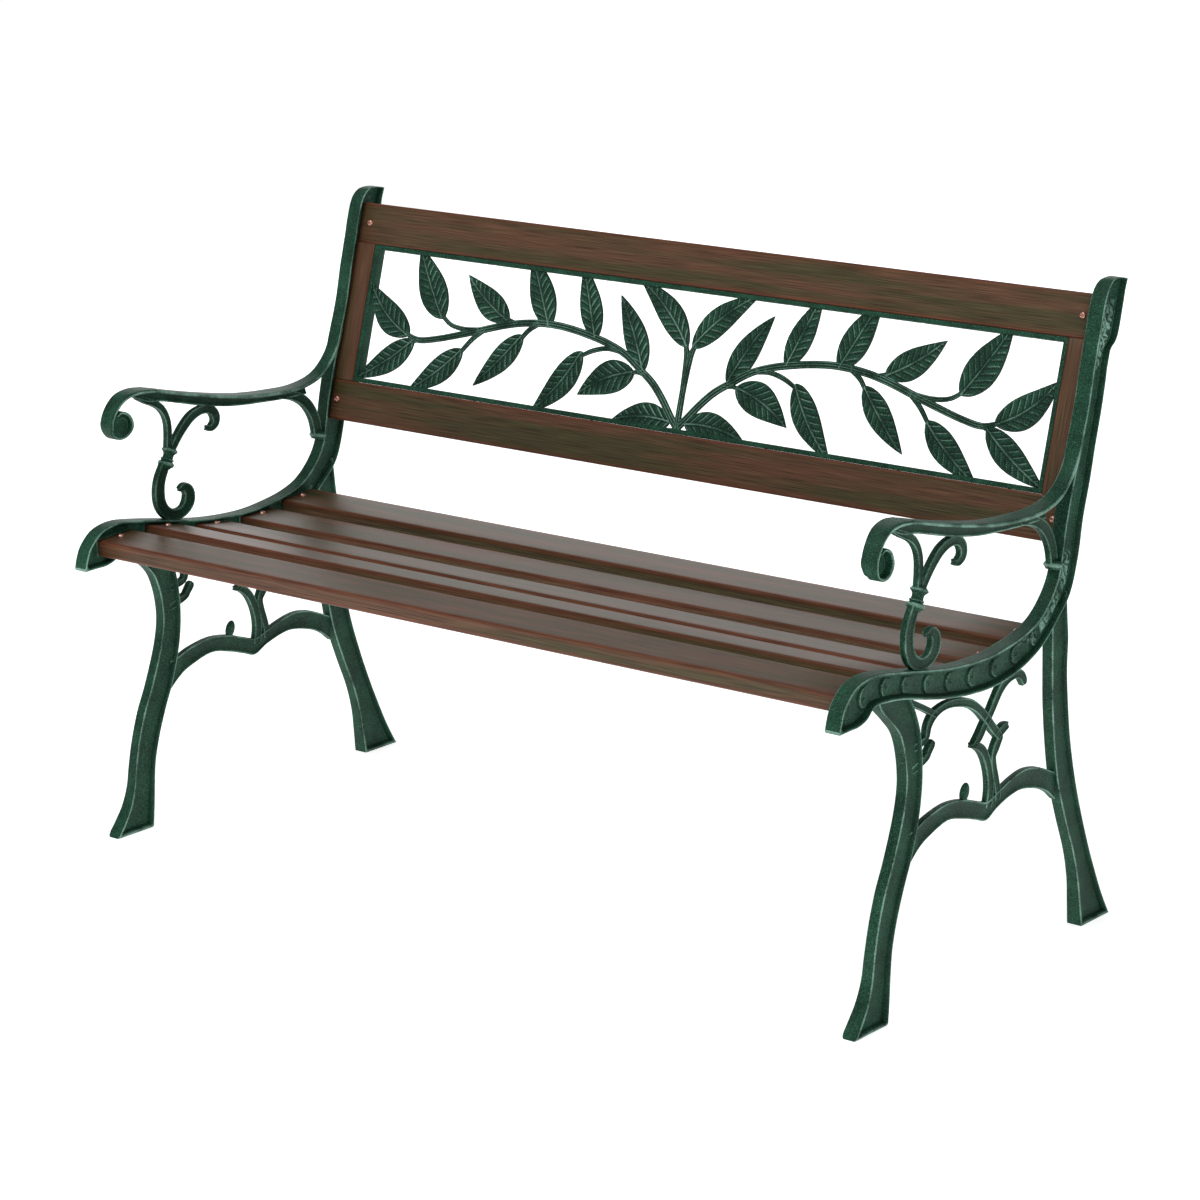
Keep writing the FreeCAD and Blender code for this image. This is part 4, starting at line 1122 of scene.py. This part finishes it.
def stem(shape, points, mirror):
    """A stem with three ridges along it, half round in front and flatter behind."""
    line = through(points, 6)
    rows = []
    for i, (x, upward, half) in enumerate(line):
        before, after = line[max(i - 1, 0)], line[min(i + 1, len(line) - 1)]
        across = Vector((before[1] - after[1], after[0] - before[0])).normalized() * half
        row = []
        for k in range(17):
            a = k / 8 - 1
            ridge = math.cos(a * 1.5 * math.tau) * 0.5 + 0.5
            height = 2.0 * math.sqrt(max(0, 1 - a * a * 0.96)) + 1.1 * ridge * (1 - a ** 6)
            spot = inside_border(x + across.x * a, upward + across.y * a)
            # ridges paler as rubbing and painted highlight, painted shade between them; the back carries a
            # little painted shade
            row.append((on_panel(mirror * spot[0], spot[1], LEAF_FRONT + 2.8 - height),
                        0.9 * ridge ** 3, 0.85 * (1 - ridge) ** 2))
        for a in (0.8, 0.3, -0.3, -0.8):
            spot = inside_border(x + across.x * a, upward + across.y * a)
            row.append((on_panel(mirror * spot[0], spot[1], LEAF_BACK - 0.3 * abs(a)), 0, 0.2))
        rows.append(row)
    sweep(shape, rows)


print("leaf sections:", LEAF_COLUMNS + 1, "points across")

# %% [markdown]
# ## The panel's border
#
# The border is a flat strip set on edge between the timbers. It could be four bars, but then their
# corners would have to be mitred. One rectangle, inset and opened in the middle, gives the strip with
# clean corners, and extruding it backwards and bevelling its edges gives it depth and the soft edges that
# paint leaves.


# %% Border and assembly
def border(shape):
    """The strip round the panel: a plate, inset, opened in the middle, given depth and eased, with painted
    shade along its outer edge.
    """
    wide, tall = panel_half / MM, panel_height / MM
    corners = [shape.verts.new(on_panel(x, upward, PANEL_SETBACK))
               for x, upward in ((-wide, 0), (wide, 0), (wide, tall), (-wide, tall))]
    plate_face = shape.faces.new(corners)
    plate_face.normal_update()
    ring = bmesh.ops.inset_individual(shape, faces=[plate_face], thickness=PANEL_BORDER * MM,
                                      use_even_offset=True)["faces"]
    bmesh.ops.delete(shape, geom=[plate_face], context="FACES_ONLY")
    bmesh.ops.recalc_face_normals(shape, faces=ring)
    extruded = bmesh.ops.extrude_face_region(shape, geom=ring)["geom"]
    moved = [g for g in extruded if isinstance(g, bmesh.types.BMVert)]
    bmesh.ops.translate(shape, vec=-out_of_back * (PANEL_DEPTH * MM), verts=moved)
    faces = {f for v in moved for f in v.link_faces} | set(ring)
    edges = [e for e in {e for f in faces for e in f.edges if f.is_valid}
             if e.is_valid and len(e.link_faces) == 2 and e.calc_face_angle(0) > 1]
    bmesh.ops.bevel(shape, geom=edges, offset=0.8 * MM, affect="EDGES", segments=2, profile=0.5, material=-1)
    # painted shade: a dark line along the border's outer edge, where it meets the timbers
    hollow = shape.verts.layers.float["hollow"]
    for vert in shape.verts:
        offset = vert.co - panel_foot
        edge = min(panel_half - abs(offset.x), offset.dot(up_the_back),
                   panel_height - offset.dot(up_the_back))
        vert[hollow] = 1.0 if edge < 0.4 * MM else 0.0


def branches():
    """The border strip and both halves' stems."""
    shape = start_mesh()
    border(shape)
    for mirror in (1, -1):
        for points in STEMS:
            stem(shape, points, mirror)
    return shape


def half_of_leaves(mirror):
    """The thirteen leaves of one half, on the right for 1 and on the left for -1."""
    shape = start_mesh()
    for values in LEAVES:
        leaf(shape, *values, mirror)
    return shape


finish_piece(branches(), "panel_border_and_stems", paint, "green_paint", "leaf_panel")
finish_piece(half_of_leaves(1), "panel_leaves_right", paint, "green_paint", "leaf_panel")
finish_piece(half_of_leaves(-1), "panel_leaves_left", paint, "green_paint", "leaf_panel")

# %% [markdown]
# ## Timber
#
# The slats, rails and stiles are planed boards with eased edges. A bevelled cube would give the edges but
# has no points beside them, so a board is a rounded section swept along its length in a few steps. Extra
# columns beside each corner let the redder colour of the eased edge fade into the flat, and the last rows
# shrink a little to ease the ends. Every point also carries its place along, across and through its own
# board, so the grain runs the right way on an upright stile too.


# %% Boards
def board(name, start, length_way, across, outward, length, width, thickness, radius, number, node):
    """Sweep a board. start is the middle of its front face's first end; sizes across it are in mm."""
    corner = []
    for degrees in (0, 22.5, 45, 67.5, 90):
        angle = math.radians(degrees)
        corner.append((width / 2 - radius + radius * math.sin(angle),
                       -radius + radius * math.cos(angle), 1.0))
    top_half = [(width / 2 - 5 * radius, 0, 0), (width / 2 - 2.2 * radius, 0, 0.25)] + corner + \
        [(width / 2, -2 * radius, 0.2), (width / 2, -thickness / 2, 0)]
    quarter = top_half + [(a, -thickness - d, w) for a, d, w in reversed(top_half[:-1])]
    loop = quarter + [(-a, d, w) for a, d, w in reversed(quarter)]
    shape = start_mesh()
    rows = []
    ends = [(0.0, 1.2), (0.0004, 0.5), (0.0012, 0.0)]
    places = ends + [(length * k / 12, 0.0) for k in range(1, 12)] + \
        [(length - run, shrink) for run, shrink in reversed(ends)]
    for run, shrink in places:
        row = []
        for a, d, w in loop:
            a_in = a * (1 - 2 * shrink / width)
            d_in = -thickness / 2 + (d + thickness / 2) * (1 - 2 * shrink / thickness)
            point = start + length_way * run + across * (a_in * MM) + outward * (d_in * MM)
            row.append((point, w, 0, Vector((run + number * 1.37, a * MM + number * 0.31, d * MM))))
        rows.append(row)
    sweep(shape, rows)
    finish_piece(shape, name, wood, "stained_wood", node)


for index in range(len(SLATS)):
    middle, across, outward = slat_axes(index)
    board("slat_board_%d" % (index + 1), middle - ALONG * timber_end, ALONG, across, outward,
          2 * timber_end, SLAT_SIZE[0], SLAT_SIZE[1], 3.0, index, "seat_slat_%d" % (index + 1))
for name, middle, number in (("bottom", bottom_middle, 6), ("top", top_middle, 7)):
    board("back_rail_" + name, middle - ALONG * timber_end, ALONG, up_the_back, out_of_back,
          2 * timber_end, RAIL_SIZE[0], RAIL_SIZE[1], 2.0, number, "back_%s_rail" % name)
for name, sign, number in (("left", -1, 8), ("right", 1, 9)):
    foot = bottom_middle + up_the_back * (RAIL_SIZE[0] / 2 * MM) + \
        ALONG * (sign * (stile_inner + timber_end) / 2)
    board("stile_board_" + name, foot, up_the_back, ALONG, out_of_back,
          panel_height + 2 * PANEL_GAP * MM, (timber_end - stile_inner) / MM, RAIL_SIZE[1], 1.5, number,
          "back_stile_" + name)

# %% [markdown]
# ## Bolts
#
# The heads are low domes with a round socket in the middle, the kind that a peg key turns. They are
# turned shapes: one profile, spun about the bolt's own axis. The shank runs through the timber and its
# ear to the nut.

# %% Domed bolts
HEAD_RADIUS, SHANK_RADIUS = 4.75, 2.5
TAIL = LUG["thick"] + 1.0 + 4.0 + 1.5   # ear, washer, nut, and the end that stands past the nut


def domed_bolts(name, places, node):
    """Both ends' bolts at these places, as one piece."""
    shape = start_mesh()
    for middle, outward, x, thickness in places:
        dome = [(0, 0.75, 0), (1.7, 0.75, 0), (2.0, 1.0, 0), (2.1, 2.45, 0), (2.4, 2.6, 0), (2.9, 2.45, 0),
                (3.7, 1.8, 0), (4.4, 0.9, 0), (4.72, 0.25, 0), (HEAD_RADIUS, 0.0, 0), (SHANK_RADIUS, 0.0, 0),
                (SHANK_RADIUS, -thickness - TAIL + 0.6, 0), (SHANK_RADIUS - 0.6, -thickness - TAIL, 0),
                (0, -thickness - TAIL, 0)]
        for sign in (-1, 1):
            centre = middle + ALONG * (sign * x)
            turned(shape, centre, outward, dome, steps=32)
    finish_piece(shape, name, copper, "coppered_steel", node)


seat_places, rail_places = bolt_places()
domed_bolts("seat_bolt_set", seat_places, "seat_bolts")
domed_bolts("back_bolt_set", rail_places, "back_bolts")

# %% [markdown]
# ## Floor and light
#
# The studio is a plain white floor that runs far past the bench on every side, under a pale sky. The
# floor gives off a little light of its own, as a lit sweep does, so that it stays white under the bench
# and the shadows on it are faint. A broad soft light stands high in front, a weaker one to the right, and
# one behind.

# %% Floor
FLOOR_HALF = 40         # half the floor's side, in metres

# matt white paper: no sheen, and a slow change of tone that the eye takes for evenness
floor_material, floor_tree = new_material("white_studio_floor")
floor_place = add_node(floor_tree, "TexCoord")
floor_grain = add_node(floor_tree, "TexNoise", Vector=(floor_place, "Object"), Scale=0.6)
floor_tone = add_node(floor_tree, "ValToRGB", stops=((0.2, "F4F6F7"), (0.8, "FAFBFB")),
                      Fac=(floor_grain, "Fac"))
coat(floor_material, floor_tree, Base_Color=(floor_tone, "Color"), Roughness=0.9,
     Emission_Color=linear("FFFFFF"), Emission_Strength=0.74)
floor_shape = bmesh.new()
bmesh.ops.create_grid(floor_shape, x_segments=4, y_segments=4, size=FLOOR_HALF)
floor_mesh = bpy.data.meshes.new("studio_floor")
floor_shape.to_mesh(floor_mesh)
floor_shape.free()
floor_mesh.materials.append(floor_material)
floor = bpy.data.objects.new("studio_floor", floor_mesh)
scene.collection.objects.link(floor)
print("floor", 2 * FLOOR_HALF, "m square")

# %% Lights
world = bpy.data.worlds.new("white_sky")
world.use_nodes = True
world.node_tree.nodes["Background"].inputs["Color"].default_value = linear("FBFDFF")
world.node_tree.nodes["Background"].inputs["Strength"].default_value = 0.3
scene.world = world
scene.view_settings.view_transform = "Standard"


MIDDLE = Vector((0, 0, 0.45))


def soft_light(name, place, size, watts):
    """A square softbox aimed at the middle of the bench."""
    data = bpy.data.lights.new(name, "AREA")
    data.shape = "SQUARE"
    data.size = size
    data.energy = watts
    light = bpy.data.objects.new(name, data)
    scene.collection.objects.link(light)
    aim = Vector(place) - MIDDLE
    light.matrix_world = Matrix.Translation(place) @ aim.to_track_quat("Z", "Y").to_matrix().to_4x4()


soft_light("key", (-0.4, -2.0, 4.0), 1.8, 62)
soft_light("fill", (3.6, -2.0, 2.0), 1.6, 20)
soft_light("rim", (-3.0, 3.8, 2.0), 3.2, 62)
